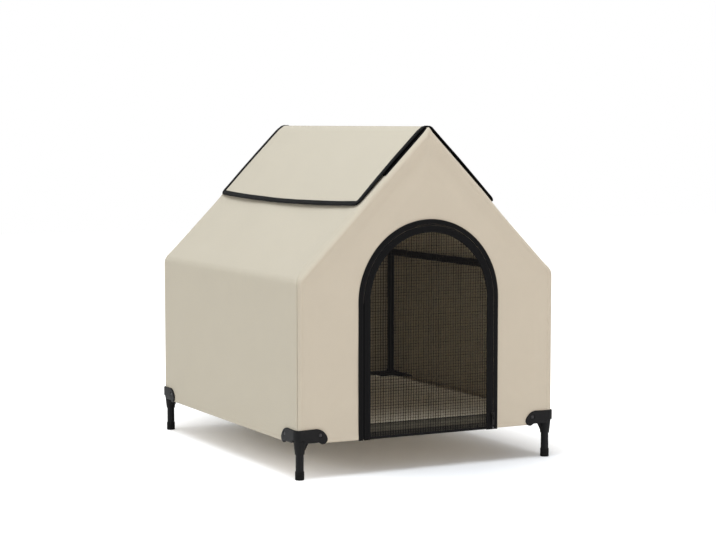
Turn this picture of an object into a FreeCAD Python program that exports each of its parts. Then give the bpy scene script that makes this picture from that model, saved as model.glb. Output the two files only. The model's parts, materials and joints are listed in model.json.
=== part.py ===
import FreeCAD, Part
import os
import re
import Sketcher
from FreeCAD import Placement, Rotation, Vector

# Raised dog house: tube frame on four legs, slung bed, sewn cover with a zipped mesh door, roof flap.
# Millimetres. Origin on the floor under the middle of the house, +Z up, the door faces -Y.

SIZES = {
    # Cover: outer faces of the cloth; the eave and the ridge are the sharp lines of its planes
    "house_width": 700.0,
    "house_depth": 828.0,
    "hem_height": 84.0,
    "eave_height": 464.5,
    "roof_rise": 350.0,
    "cloth": 1.5,
    "cover_gap": 2.0,
    "eave_bend": 28.0,
    "corner_ease": 1.0,
    "ridge_ease": 2.0,
    "seam_lap": 2.0,
    "vent_half_width": 113.0,
    "vent_rim_drop": 3.5,
    "notch_reach": 66.0,
    "notch_rise": 9.5,
    "overrun": 20.0,
    # Frame tubes and their fittings
    "tube_diameter": 19.0,
    "tube_wall": 1.2,
    "tube_fit": 0.2,
    "rail_height": 103.5,
    "rail_stop": 14.0,
    "leg_stop": 12.0,
    "post_stop": 8.0,
    "plug_length": 25.0,
    "plug_fit": 0.1,
    "hub_reach": 18.0,
    "hub_swell": 0.2,
    # Foot caps
    "cap_diameter": 21.5,
    "cap_height": 20.0,
    "cap_floor": 4.0,
    "cap_rounding": 2.0,
    # Corner brackets: heights are measured from the rail axis, reaches from the post axis
    "socket_drop": 43.5,
    "socket_radius": 11.2,
    "socket_shoulder": 13.0,
    "hub_radius": 14.5,
    "hub_shoulder": 9.0,
    "collar_rise": 19.0,
    "collar_radius": 11.2,
    "arm_radius": 13.0,
    "arm_reach": 52.0,
    "wing_proud": 4.5,
    "wing_gap": 0.3,
    "wing_top": 13.5,
    "wing_crest": 15.0,
    "wing_crest_reach": 37.0,
    "lobe_reach": 65.0,
    "lobe_middle": 8.5,
    "lobe_bottom": 21.0,
    "lobe_bottom_reach": 49.0,
    "lobe_upper_radius": 32.0,
    "lobe_lower_radius": 12.5,
    "waist_drop": 10.0,
    "waist_reach": 17.0,
    "waist_radius": 60.0,
    "web_reach": 50.0,
    "wing_rounding": 1.6,
    "plate_reach": 105.0,
    "plate_tip": 12.0,
    "plate_lift": 11.3,
    "plate_thickness": 3.0,
    "plate_inset": 11.2,
    "rib_reach": 32.0,
    "rib_drop": 38.0,
    "rib_thickness": 5.0,
    # Screws through the wings into the rails
    "screw_reach": 46.0,
    "screw_head_diameter": 9.0,
    "screw_head_height": 2.2,
    "screw_head_rounding": 0.8,
    "screw_diameter": 4.0,
    "screw_grip": 6.0,
    "screw_hole_fit": 0.15,
    "recess_diameter": 11.0,
    "recess_depth": 2.6,
    # Bed sheet and its sleeves
    "sheet": 1.2,
    "sleeve_gap": 0.3,
    "sleeve_end_gap": 3.0,
    "sheet_lap": 4.0,
    # Door, measured from the outer edge of the surround inwards
    "door_radius": 190.5,
    "spring_height": 405.0,
    "surround_width": 11.5,
    "surround_thickness": 2.2,
    "surround_lap": 8.5,
    "zip_width": 3.0,
    "zip_fit": 0.2,
    "zip_thickness": 2.0,
    "tape_thickness": 1.0,
    "door_gap": 0.3,
    "binding_width": 16.4,
    "binding_thickness": 3.4,
    "binding_slot": 8.0,
    "binding_hem": 10.5,
    "mesh": 0.8,
    "mesh_fit": 0.1,
    # Zip slider and its pull
    "slider_width": 9.0,
    "slider_waist": 5.6,
    "slider_height": 14.0,
    "slider_thickness": 2.0,
    "slider_gap": 0.4,
    "slider_lift": 26.0,
    "bail_width": 1.6,
    "bail_bar": 1.2,
    "bail_space": 2.4,
    "bail_height": 7.0,
    "bail_foot": 1.4,
    "pull_width": 6.4,
    "pull_length": 26.0,
    "pull_thickness": 1.2,
    "pull_rail": 1.2,
    "pull_fit": 0.5,
    "pull_rounding": 2.0,
    # Roof flap: lengths down the slope from the sharp ridge, lifts above the roof plane
    "flap_length": 258.0,
    "flap_bow": 11.0,
    "flap_inset": 14.0,
    "flap_corner": 18.0,
    "flap_lift": 6.2,
    "flap_binding_lift": 5.0,
    "flap_binding_thickness": 4.0,
    "flap_binding_width": 13.0,
    "strip_reach": 22.0,
    "strip_lift": 0.3,
    "hinge_gap": 0.3,
    # Hook and loop patches between the flap and the roof
    "patch_length": 40.0,
    "patch_width": 18.0,
    "patch_thickness": 2.35,
    "patch_end_inset": 30.0,
    "patch_hem_inset": 10.0,
}

document = FreeCAD.newDocument("raised_dog_house")
sheet = document.addObject("Spreadsheet::Sheet", "Sizes")
for row, (name, number) in enumerate(SIZES.items(), start=1):
    sheet.set(f"A{row}", name)
    sheet.set(f"B{row}", str(number))
    sheet.setAlias(f"B{row}", name)
document.recompute()

WORDS = re.compile(r"\b(" + "|".join(SIZES) + r")\b")
NODES = []
MOST_SHARE = 0.9

# Sizes that follow from the sheet
TUBE_RADIUS = "(tube_diameter / 2)"
TUBE_BORE = f"({TUBE_RADIUS} - tube_wall)"
SOCKET_BORE = f"({TUBE_RADIUS} + tube_fit)"
INSET = f"({TUBE_RADIUS} + cover_gap + cloth)"
POST_X = f"(house_width / 2 - {INSET})"
POST_Y = f"(house_depth / 2 - {INSET})"
RUN = "(house_width / 2)"
SLOPE = f"sqrt(pow({RUN}, 2) + pow(roof_rise, 2))"
COS = f"({RUN} / {SLOPE})"
SIN = f"(roof_rise / {SLOPE})"
PITCH = f"atan(roof_rise / {RUN})"
RIDGE = "(eave_height + roof_rise)"
EAVE_AXIS = f"(eave_height + {INSET} * roof_rise / {RUN} - {INSET} / {COS})"
RIDGE_AXIS = f"({RIDGE} - {INSET} / {COS})"
CORNER_BEND = f"({INSET} - corner_ease)"
RIDGE_BEND = f"({INSET} + ridge_ease)"
SEAM_INSET = f"({CORNER_BEND} + seam_lap)"
FRONT = "(house_depth / 2)"
WING_FACE = f"({INSET} + wing_proud)"
WING_BACK = f"({INSET} + wing_gap)"
SLEEVE_BORE = f"({TUBE_RADIUS} + sleeve_gap)"
SLEEVE_RADIUS = f"({SLEEVE_BORE} + sheet)"
SHEET_BOTTOM = f"(rail_height + sqrt(pow({SLEEVE_BORE}, 2) - pow(sheet_lap, 2)))"
ZIP_RADIUS = "(door_radius - surround_width)"
LEAF_RADIUS = f"({ZIP_RADIUS} - zip_width - door_gap)"
MESH_RADIUS = f"({LEAF_RADIUS} - binding_width + binding_slot)"
LEAF_FACE = f"({FRONT} + surround_thickness)"
FLAP_HALF = f"({FRONT} - flap_inset)"
FLAP_TOP = "(flap_binding_lift + flap_binding_thickness)"
FLAP_START = "(strip_reach + hinge_gap)"


def formula(text):
    return WORDS.sub(r"Sizes.\1", text)


def value(text):
    return float(sheet.evalExpression(formula(text)))


def bind(item, **formulas):
    for key, text in formulas.items():
        item.setExpression(key, formula(text))


# Place an object by three formulas, turned about an axis by an angle that may be a formula
def place(item, x="0", y="0", z="0", turn=None, angle=None):
    item.Placement = Placement(Vector(), turn or Rotation())
    for key, text in (("x", x), ("y", y), ("z", z)):
        item.setExpression(f".Placement.Base.{key}", formula(text))
    if angle:
        item.setExpression(".Placement.Rotation.Angle", formula(angle))


def keep(item, name):
    item.Label = name
    NODES.append((name, item))
    return item


def add(kind, name, **formulas):
    item = document.addObject(kind, name)
    bind(item, **formulas)
    return item


def new_body(name):
    return document.addObject("PartDesign::Body", name)


def new_sketch(body, role, name, offset=None):
    sketch = body.newObject("Sketcher::SketchObject", name)
    plane = next(item for item in body.Origin.OriginFeatures if item.Role == role)
    sketch.AttachmentSupport = [(plane, "")]
    sketch.MapMode = "FlatFace"
    if offset:
        sketch.setExpression(".AttachmentOffset.Base.z", formula(offset))
    return sketch


# Hold one point of a sketch at two formulas
def pin(sketch, item, end, x, y):
    for kind, text in (("DistanceX", x), ("DistanceY", y)):
        index = sketch.addConstraint(Sketcher.Constraint(kind, -1, 1, item, end, value(text)))
        sketch.setExpression(f"Constraints[{index}]", formula(text))


# Centre of the arc of a given radius from one point to the next, to the left of the way for side 1
def arc_centre(start, end, radius, side):
    middle = (start + end) * 0.5
    chord = end - start
    rise = max(radius * radius - chord.Length * chord.Length / 4, 0) ** 0.5
    across = Vector(-chord.y, chord.x, 0).normalize()
    return middle + across * rise * side


# Closed outline through corners (x, y) or (x, y, radius, side), where an arc leads on from the corner
def trace(sketch, corners):
    points = [Vector(value(corner[0]), value(corner[1]), 0) for corner in corners]
    items = []
    for index, corner in enumerate(corners):
        start = points[index]
        end = points[(index + 1) % len(points)]
        if len(corner) == 2:
            items.append((sketch.addGeometry(Part.LineSegment(start, end)), 1, 2))
            continue
        radius = value(corner[2])
        centre = arc_centre(start, end, radius, corner[3])
        middle = (start + end) * 0.5 - centre
        crown = centre + middle.normalize() * radius
        arc = Part.Arc(start, crown, end)
        item = sketch.addGeometry(arc)
        reaches = [sketch.getPoint(item, end_number).distanceToPoint(start) for end_number in (1, 2)]
        first = 1 if reaches[0] < reaches[1] else 2
        items.append((item, first, 3 - first))
    for index, (item, first, last) in enumerate(items):
        follower = items[(index + 1) % len(items)]
        sketch.addConstraint(Sketcher.Constraint("Coincident", item, last, follower[0], follower[1]))
    for index, corner in enumerate(corners):
        item, first, last = items[index]
        pin(sketch, item, first, corner[0], corner[1])
        if len(corner) > 2:
            number = sketch.addConstraint(Sketcher.Constraint("Radius", item, value(corner[2])))
            sketch.setExpression(f"Constraints[{number}]", formula(corner[2]))


def circle(sketch, radius, x="0", y="0"):
    item = sketch.addGeometry(Part.Circle(Vector(value(x), value(y), 0), Vector(0, 0, 1), value(radius)))
    pin(sketch, item, 3, x, y)
    number = sketch.addConstraint(Sketcher.Constraint("Radius", item, value(radius)))
    sketch.setExpression(f"Constraints[{number}]", formula(radius))


# Round-headed doorway outline standing on a level line
def arch(sketch, radius, bottom):
    half = value(radius)
    low_left, low_right = (Vector(side * half, value(bottom), 0) for side in (-1, 1))
    high_left, high_right = (Vector(side * half, value("spring_height"), 0) for side in (-1, 1))
    crown = Vector(0, value(f"spring_height + {radius}"), 0)
    left = sketch.addGeometry(Part.LineSegment(low_left, high_left))
    right = sketch.addGeometry(Part.LineSegment(high_right, low_right))
    foot = sketch.addGeometry(Part.LineSegment(low_right, low_left))
    bow = sketch.addGeometry(Part.Arc(high_right, crown, high_left))
    sketch.addConstraint(Sketcher.Constraint("Coincident", left, 2, bow, 2))
    sketch.addConstraint(Sketcher.Constraint("Coincident", bow, 1, right, 1))
    sketch.addConstraint(Sketcher.Constraint("Coincident", right, 2, foot, 1))
    sketch.addConstraint(Sketcher.Constraint("Coincident", foot, 2, left, 1))
    pin(sketch, left, 1, f"-{radius}", bottom)
    pin(sketch, left, 2, f"-{radius}", "spring_height")
    pin(sketch, right, 1, radius, "spring_height")
    pin(sketch, right, 2, radius, bottom)
    number = sketch.addConstraint(Sketcher.Constraint("DistanceY", -1, 1, bow, 3, value("spring_height")))
    sketch.setExpression(f"Constraints[{number}]", formula("spring_height"))


def feature(body, kind, sketch, length, back=False, both=False):
    item = body.newObject(f"PartDesign::{kind}", f"{sketch.Name}_{kind.lower()}")
    item.Profile = sketch
    item.Reversed = back
    if both:
        item.SideType = "Symmetric"
    bind(item, Length=length)
    document.recompute()
    return item


# Solid of revolution about the body's own Z axis
def revolve(body, name, corners):
    sketch = new_sketch(body, "XZ_Plane", name)
    trace(sketch, corners)
    item = body.newObject("PartDesign::Revolution", f"{name}_turn")
    item.Profile = sketch
    item.ReferenceAxis = (sketch, ["V_Axis"])
    document.recompute()
    return item


# Round the edges of a body's last feature that pass a test
def round_edges(body, radius, test):
    last = body.Tip
    names = [f"Edge{index}" for index, edge in enumerate(last.Shape.Edges, start=1) if test(edge)]
    item = body.newObject("PartDesign::Fillet", f"{body.Name}_round")
    item.Base = (last, names)
    bind(item, Radius=radius)
    document.recompute()
    return item


def box(name, x, y, z):
    lengths = [f"{high} - ({low})" for low, high in (x, y, z)]
    item = add("Part::Box", name, Length=lengths[0], Width=lengths[1], Height=lengths[2])
    place(item, x[0], y[0], z[0])
    return item


def combine(kind, name, base, tool):
    item = document.addObject(f"Part::{kind}", name)
    item.Base = base
    item.Tool = tool
    return item


def gather(kind, name, items):
    item = document.addObject(f"Part::{kind}", name)
    if kind == "Compound":
        item.Links = items
    else:
        item.Shapes = items
    return item


# Round tube along its own Z axis
def tube(name, length, holes=()):
    body = new_body(name)
    ring = new_sketch(body, "XY_Plane", f"{name}_ring")
    circle(ring, TUBE_RADIUS)
    circle(ring, TUBE_BORE)
    feature(body, "Pad", ring, length)
    for number, level in enumerate(holes):
        drill = new_sketch(body, "XZ_Plane", f"{name}_drill{number}")
        circle(drill, "screw_diameter / 2 + screw_hole_fit", "0", level)
        feature(body, "Pocket", drill, "tube_diameter", back=True)
    return keep(body, name)


SIDES = {"left": "-1", "right": "1"}
ENDS = {"front": "-1", "rear": "1"}
CORNERS = {"front_left": 0, "front_right": 1, "rear_right": 2, "rear_left": 3}
UPRIGHT = Vector(0, 0, 1)
ACROSS = Vector(0, 1, 0)


def quarter(count):
    return Rotation(UPRIGHT, 90 * count)


# Signs of x and y at each corner of the house
def signs(corner):
    end, side = corner.split("_")
    return SIDES[side], ENDS[end]


# Foot caps: round cups under the legs
def foot_cap(corner):
    x, y = signs(corner)
    name = f"foot_cap_{corner}"
    body = new_body(name)
    bore = SOCKET_BORE
    revolve(body, f"{name}_cup", [
        ("0", "0"), ("cap_diameter / 2", "0"), ("cap_diameter / 2", "cap_height"),
        (bore, "cap_height"), (bore, "cap_floor"), ("0", "cap_floor")])
    low = value("cap_rounding")
    round_edges(body, "cap_rounding", lambda edge: edge.BoundBox.ZMax < low)
    place(body, f"{x} * {POST_X}", f"{y} * {POST_Y}")
    keep(body, name)


# Outline of a bracket wing: x runs along the rail from the post axis, y up from the rail axis
def wing_outline():
    return [
        (f"-{WING_FACE}", "-waist_drop"),
        (f"-{WING_FACE}", "wing_top"),
        ("wing_crest_reach", "wing_crest", "lobe_upper_radius", -1),
        ("lobe_reach", "-lobe_middle", "lobe_lower_radius", -1),
        ("lobe_bottom_reach", "-lobe_bottom", "waist_radius", 1),
        ("waist_reach", "-waist_drop")]


# Test for an upright edge that stands out from the post axis by the same reach both ways
def upright_test(reach):
    limit = value("wing_gap") / 2
    target = -value(reach)
    return lambda edge: all(abs(end - target) < limit for end in (
        edge.BoundBox.XMin, edge.BoundBox.XMax, edge.BoundBox.YMin, edge.BoundBox.YMax))


# Test for the rim of the wings' outer faces, without the upright lines where the corner turns
def wing_rim_test():
    limit = value("wing_gap") / 2
    target = -value(WING_FACE)
    return lambda edge: edge.BoundBox.XLength + edge.BoundBox.YLength > limit and (
        abs(edge.BoundBox.XMax - target) < limit or abs(edge.BoundBox.YMax - target) < limit)


# Moulded corner bracket: hub with leg and post sockets, two rail arms, outer wings, inner plate, ribs
def corner_bracket(corner):
    x, y = signs(corner)
    name = f"corner_bracket_{corner}"
    body = new_body(name)
    revolve(body, f"{name}_hub", [
        ("0", "-socket_drop"), ("socket_radius", "-socket_drop"), ("hub_radius", "-socket_shoulder"),
        ("hub_radius", "hub_shoulder"), ("collar_radius", "hub_shoulder"), ("collar_radius", "collar_rise"),
        ("0", "collar_rise")])
    for role, back in (("YZ_Plane", False), ("XZ_Plane", True)):
        arm = new_sketch(body, role, f"{name}_arm")
        circle(arm, "arm_radius")
        feature(body, "Pad", arm, "arm_reach", back)
    for role in ("YZ_Plane", "XZ_Plane"):
        rib = new_sketch(body, role, f"{name}_rib")
        trace(rib, [("0", "-rib_drop"), ("socket_radius", "-rib_drop"), ("rib_reach", "0"), ("0", "0")])
        feature(body, "Pad", rib, "rib_thickness", both=True)
    for role, back, offset in (("YZ_Plane", False, f"-{WING_FACE}"), ("XZ_Plane", True, WING_FACE)):
        web = new_sketch(body, role, f"{name}_web", offset)
        trace(web, [
            (f"-{WING_FACE}", "-waist_drop"), ("web_reach", "-waist_drop"),
            ("web_reach", "hub_shoulder"), (f"-{WING_FACE}", "hub_shoulder")])
        feature(body, "Pad", web, WING_FACE, back)
    for role, back, offset in (("YZ_Plane", False, f"-{WING_FACE}"), ("XZ_Plane", True, WING_FACE)):
        wing = new_sketch(body, role, f"{name}_wing", offset)
        trace(wing, wing_outline())
        feature(body, "Pad", wing, "wing_proud - wing_gap", back)
    plate = new_sketch(body, "XY_Plane", f"{name}_plate", "plate_lift")
    trace(plate, [
        ("0", "-plate_inset"), ("plate_reach", "-plate_inset"), ("plate_reach", "plate_tip - plate_inset"),
        ("plate_tip - plate_inset", "plate_reach"), ("-plate_inset", "plate_reach"), ("-plate_inset", "0")])
    feature(body, "Pad", plate, "plate_thickness")
    round_edges(body, f"{CORNER_BEND} + wing_gap", upright_test(WING_BACK))
    round_edges(body, f"{CORNER_BEND} + wing_proud", upright_test(WING_FACE))
    round_edges(body, "wing_rounding", wing_rim_test())
    sockets = (
        ("post", "XY_Plane", "collar_rise", "collar_rise + post_stop", False),
        ("leg", "XY_Plane", "-socket_drop", "socket_drop - leg_stop", True),
        ("right_rail", "YZ_Plane", "arm_reach", "arm_reach - rail_stop", False),
        ("left_rail", "XZ_Plane", "-arm_reach", "arm_reach - rail_stop", True))
    for part, role, offset, depth, back in sockets:
        bore = new_sketch(body, role, f"{name}_{part}_bore", offset)
        circle(bore, SOCKET_BORE)
        feature(body, "Pocket", bore, depth, back)
    for role, offset, back in (("YZ_Plane", f"-{WING_FACE}", True), ("XZ_Plane", WING_FACE, False)):
        recess = new_sketch(body, role, f"{name}_recess", offset)
        circle(recess, "recess_diameter / 2", "screw_reach", "0")
        feature(body, "Pocket", recess, "recess_depth", back)
        hole = new_sketch(body, role, f"{name}_hole", offset)
        circle(hole, "screw_diameter / 2 + screw_hole_fit", "screw_reach", "0")
        feature(body, "Pocket", hole, WING_FACE, back)
    place(body, f"{x} * {POST_X}", f"{y} * {POST_Y}", "rail_height", quarter(CORNERS[corner]))
    keep(body, name)


# One screw, its axis along the body's own Z, the underside of its head at zero
def screw(name):
    body = new_body(name)
    tip = f"-({WING_FACE} - recess_depth - {TUBE_RADIUS} + screw_grip)"
    shank = "screw_diameter / 2"
    head = "screw_head_diameter / 2"
    revolve(body, f"{name}_form", [
        ("0", "screw_head_height"), ("0", tip), (shank, tip), (shank, "0"), (head, "0"),
        (head, "screw_head_height")])
    crown = value("screw_head_height") * MOST_SHARE
    round_edges(body, "screw_head_rounding", lambda edge: edge.BoundBox.ZMin > crown and edge.Closed)
    return body


# Two screws in each bracket, seated in the wing recesses
def bracket_screws():
    items = []
    seat = f"({WING_FACE} - recess_depth)"
    for corner in CORNERS:
        x, y = signs(corner)
        along = screw(f"screw_{corner}_along")
        place(along, f"{x} * ({POST_X} - screw_reach)", f"{y} * ({POST_Y} + {seat})", "rail_height",
              Rotation(Vector(1, 0, 0), 90 if y == "-1" else -90))
        across = screw(f"screw_{corner}_across")
        place(across, f"{x} * ({POST_X} + {seat})", f"{y} * ({POST_Y} - screw_reach)", "rail_height",
              Rotation(ACROSS, 90 if x == "1" else -90))
        items += [along, across]
    keep(gather("Compound", "bracket_screws", items), "bracket_screws")


# Rails between the brackets, each with a screw hole near both ends on its outer side
def base_rails():
    labels = ("front", "right", "rear", "left")
    ways = ((-1, -1), (1, -1), (1, 1), (-1, 1))
    for count, label in enumerate(labels):
        half, aside = (POST_X, POST_Y) if count % 2 == 0 else (POST_Y, POST_X)
        length = f"(2 * ({half} - rail_stop))"
        near = "(screw_reach - rail_stop)"
        item = tube(f"base_rail_{label}", length, [near, f"{length} - {near}"])
        x, y = ways[count]
        across = (f"{x} * ({half} - rail_stop)", f"{y} * {aside}")
        along = (f"{x} * {aside}", f"{y} * ({half} - rail_stop)")
        start = across if count % 2 == 0 else along
        place(item, start[0], start[1], "rail_height", quarter(count) * Rotation(ACROSS, 90))


def uprights():
    for corner in CORNERS:
        x, y = signs(corner)
        leg = tube(f"leg_{corner}", "rail_height - leg_stop - cap_floor")
        place(leg, f"{x} * {POST_X}", f"{y} * {POST_Y}", "cap_floor")
        post = tube(f"post_{corner}", f"{EAVE_AXIS} - hub_reach - rail_height + post_stop")
        place(post, f"{x} * {POST_X}", f"{y} * {POST_Y}", "rail_height - post_stop")


def roof_tubes():
    for side, x in SIDES.items():
        rail = tube(f"eave_rail_{side}", f"2 * ({POST_Y} - hub_reach)")
        place(rail, f"{x} * {POST_X}", f"-({POST_Y} - hub_reach)", EAVE_AXIS, Rotation(Vector(1, 0, 0), -90))
        for end, y in ENDS.items():
            rafter = tube(f"rafter_{end}_{side}", f"{POST_X} / {COS} - 2 * hub_reach")
            place(rafter, f"{x} * ({POST_X} - hub_reach * {COS})", f"{y} * {POST_Y}",
                  f"{EAVE_AXIS} + hub_reach * {SIN}", Rotation(ACROSS, 45), f"-{x} * (90 deg - {PITCH})")
    rail = tube("ridge_rail", f"2 * ({POST_Y} - hub_reach)")
    place(rail, "0", f"-({POST_Y} - hub_reach)", RIDGE_AXIS, Rotation(Vector(1, 0, 0), -90))


# Three-way fitting: round hub with a flush stub and a plug inside each tube
def fitting(name, x, y, z, arms):
    items = [add("Part::Sphere", f"{name}_ball", Radius=f"{TUBE_RADIUS} + hub_swell")]
    place(items[0], x, y, z)
    for number, (turn, angle) in enumerate(arms):
        stub = add("Part::Cylinder", f"{name}_stub{number}", Radius=TUBE_RADIUS, Height="hub_reach")
        plug = add("Part::Cylinder", f"{name}_plug{number}", Radius=f"{TUBE_BORE} - plug_fit",
                   Height="hub_reach + plug_length")
        for item in (stub, plug):
            place(item, x, y, z, turn, angle)
        items += [stub, plug]
    keep(gather("MultiFuse", name, items), name)


def fittings():
    for corner in CORNERS:
        x, y = signs(corner)
        inward = Rotation(Vector(1, 0, 0), -90 if y == "-1" else 90)
        fitting(f"eave_connector_{corner}", f"{x} * {POST_X}", f"{y} * {POST_Y}", EAVE_AXIS, [
            (Rotation(Vector(1, 0, 0), 180), None), (inward, None),
            (Rotation(ACROSS, 45), f"-{x} * (90 deg - {PITCH})")])
    for end, y in ENDS.items():
        inward = Rotation(Vector(1, 0, 0), -90 if y == "-1" else 90)
        fitting(f"ridge_connector_{end}", "0", f"{y} * {POST_Y}", RIDGE_AXIS, [
            (inward, None), (Rotation(ACROSS, 45), f"90 deg + {PITCH}"),
            (Rotation(ACROSS, 45), f"-(90 deg + {PITCH})")])


# Bed sheet: a flat web between the rails with a sleeve round each rail
def bed_sheet():
    end_gap = "(arm_reach + sleeve_end_gap)"
    wide = (f"-({POST_X} - sheet_lap)", f"{POST_X} - sheet_lap")
    deep = (f"-({POST_Y} - sheet_lap)", f"{POST_Y} - sheet_lap")
    web = box("bed_web", wide, deep, (SHEET_BOTTOM, f"{SHEET_BOTTOM} + sheet"))
    cuts = []
    for corner in CORNERS:
        x, y = signs(corner)
        cut = add("Part::Box", f"bed_notch_{corner}", Length=f"2 * {end_gap}", Width=f"2 * {end_gap}",
                  Height="2 * overrun")
        place(cut, f"{x} * {POST_X} - {end_gap}", f"{y} * {POST_Y} - {end_gap}", f"{SHEET_BOTTOM} - overrun")
        cuts.append(cut)
    trimmed = combine("Cut", "bed_trimmed", web, gather("MultiFuse", "bed_notches", cuts))
    sleeves = [trimmed]
    for side, x in SIDES.items():
        sleeves.append(sleeve(f"bed_sleeve_{side}", f"2 * ({POST_Y} - {end_gap})", f"{x} * {POST_X}",
                              f"-({POST_Y} - {end_gap})", Rotation(Vector(1, 0, 0), -90)))
    for end, y in ENDS.items():
        sleeves.append(sleeve(f"bed_sleeve_{end}", f"2 * ({POST_X} - {end_gap})", f"-({POST_X} - {end_gap})",
                              f"{y} * {POST_Y}", Rotation(ACROSS, 90)))
    keep(gather("MultiFuse", "bed_sheet", sleeves), "bed_sheet")


def sleeve(name, length, x, y, turn):
    outer = add("Part::Cylinder", f"{name}_outer", Radius=SLEEVE_RADIUS, Height=length)
    bore = add("Part::Cylinder", f"{name}_bore", Radius=SLEEVE_BORE, Height=length)
    for item in (outer, bore):
        place(item, x, y, "rail_height", turn)
    return combine("Cut", name, outer, bore)


# Gabled form of the cover, shrunk by a margin on every face
def house_form(name, margin, bottom):
    body = new_body(name)
    half = f"({RUN} - {margin})"
    eave = f"(eave_height + {margin} * roof_rise / {RUN} - {margin} / {COS})"
    ridge = f"({RIDGE} - {margin} / {COS})"
    depth = f"(house_depth - 2 * {margin})"
    gable = new_sketch(body, "XZ_Plane", f"{name}_gable")
    trace(gable, [(f"-{half}", bottom), (half, bottom), (half, eave), ("0", ridge), (f"-{half}", eave)])
    feature(body, "Pad", gable, depth, both=True)
    round_edges(body, f"eave_bend - {margin}", long_edge_test(depth, eave))
    round_edges(body, f"{RIDGE_BEND} - {margin}", long_edge_test(depth, ridge))
    round_edges(body, f"{CORNER_BEND} - {margin}", gable_rim_test(bottom))
    return body


# Test for an edge that runs along most of a depth at a level
def long_edge_test(depth, level):
    least = value(depth) * MOST_SHARE
    limit = value("cloth") / 2
    height = value(level)
    return lambda edge: edge.BoundBox.YLength > least and abs(edge.CenterOfMass.z - height) < limit


# Test for the edges of a gable above its foot
def gable_rim_test(bottom):
    limit = value("cloth") / 2
    floor = value(bottom) + limit
    return lambda edge: edge.BoundBox.YLength < limit and edge.BoundBox.ZMax > floor


# Sewn cover: one bent shell, parted along its seams into panels
def cover():
    outer = house_form("cover_outer", "0", "hem_height")
    inner = house_form("cover_inner", "cloth", "(hem_height - overrun)")
    shell = combine("Cut", "cover_shell", outer, inner)
    cuts = []
    for corner in CORNERS:
        x, y = signs(corner)
        cut = add("Part::Box", f"cover_notch_{corner}", Length="2 * notch_reach", Width="2 * notch_reach",
                  Height="rail_height + notch_rise - hem_height + overrun")
        place(cut, f"{x} * {RUN} - notch_reach", f"{y} * {FRONT} - notch_reach", "hem_height - overrun")
        cuts.append(cut)
    notched = combine("Cut", "cover_notched", shell, gather("MultiFuse", "cover_notches", cuts))
    zone = new_body("vent_zone")
    outline = new_sketch(zone, "XZ_Plane", "vent_zone_outline")
    low = f"({RIDGE} - vent_half_width * roof_rise / {RUN} - vent_rim_drop / {COS})"
    peak = f"({RIDGE} + overrun)"
    bend = f"({RIDGE_BEND} - vent_rim_drop)"
    crest = f"({RIDGE} - {RIDGE_BEND} / {COS} + {bend} * {COS})"
    trace(outline, [
        ("-vent_half_width", low), (f"-{bend} * {SIN}", crest, bend, -1), (f"{bend} * {SIN}", crest),
        ("vent_half_width", low), ("vent_half_width", peak), ("-vent_half_width", peak)])
    feature(zone, "Pad", outline, "house_depth + 2 * overrun", both=True)
    keep(combine("Common", "ridge_vent", notched, zone), "ridge_vent")
    walls = combine("Cut", "cover_walls", notched, zone)
    wide = (f"-({RUN} + overrun)", f"{RUN} + overrun")
    tall = ("hem_height - overrun", f"{RIDGE} + overrun")
    front_zone = box("front_zone", wide, (f"-({FRONT} + overrun)", f"-({FRONT} - {SEAM_INSET})"), tall)
    rear_zone = box("rear_zone", wide, (f"{FRONT} - {SEAM_INSET}", f"{FRONT} + overrun"), tall)
    middle = (f"-({FRONT} - {SEAM_INSET})", f"{FRONT} - {SEAM_INSET}")
    left_zone = box("left_zone", (f"-({RUN} + overrun)", "0"), middle, tall)
    right_zone = box("right_zone", ("0", f"{RUN} + overrun"), middle, tall)
    doorway = arch_solid("doorway", f"({ZIP_RADIUS} + surround_width - surround_lap)", "hem_height - overrun",
                         f"({FRONT} + overrun)", "2 * overrun")
    gable = combine("Common", "front_blank", walls, front_zone)
    keep(combine("Cut", "front_panel", gable, doorway), "front_panel")
    keep(combine("Common", "rear_panel", walls, rear_zone), "rear_panel")
    keep(combine("Common", "left_panel", walls, left_zone), "left_panel")
    keep(combine("Common", "right_panel", walls, right_zone), "right_panel")


# Arched slab whose outer face stands forward of the middle of the house by a reach
def arch_solid(name, radius, bottom, reach, thickness):
    body = new_body(name)
    outline = new_sketch(body, "XZ_Plane", f"{name}_outline", reach)
    arch(outline, radius, bottom)
    feature(body, "Pad", outline, thickness, back=True)
    return body


# Arched band between two radii
def arch_band(name, radius, width, reach, thickness, bottom="hem_height", sill="hem_height - overrun"):
    outer = arch_solid(f"{name}_outer", radius, bottom, reach, thickness)
    inner = arch_solid(f"{name}_inner", f"({radius} - {width})", sill, f"({reach} + overrun)",
                       f"{thickness} + 2 * overrun")
    return combine("Cut", name, outer, inner)


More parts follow.
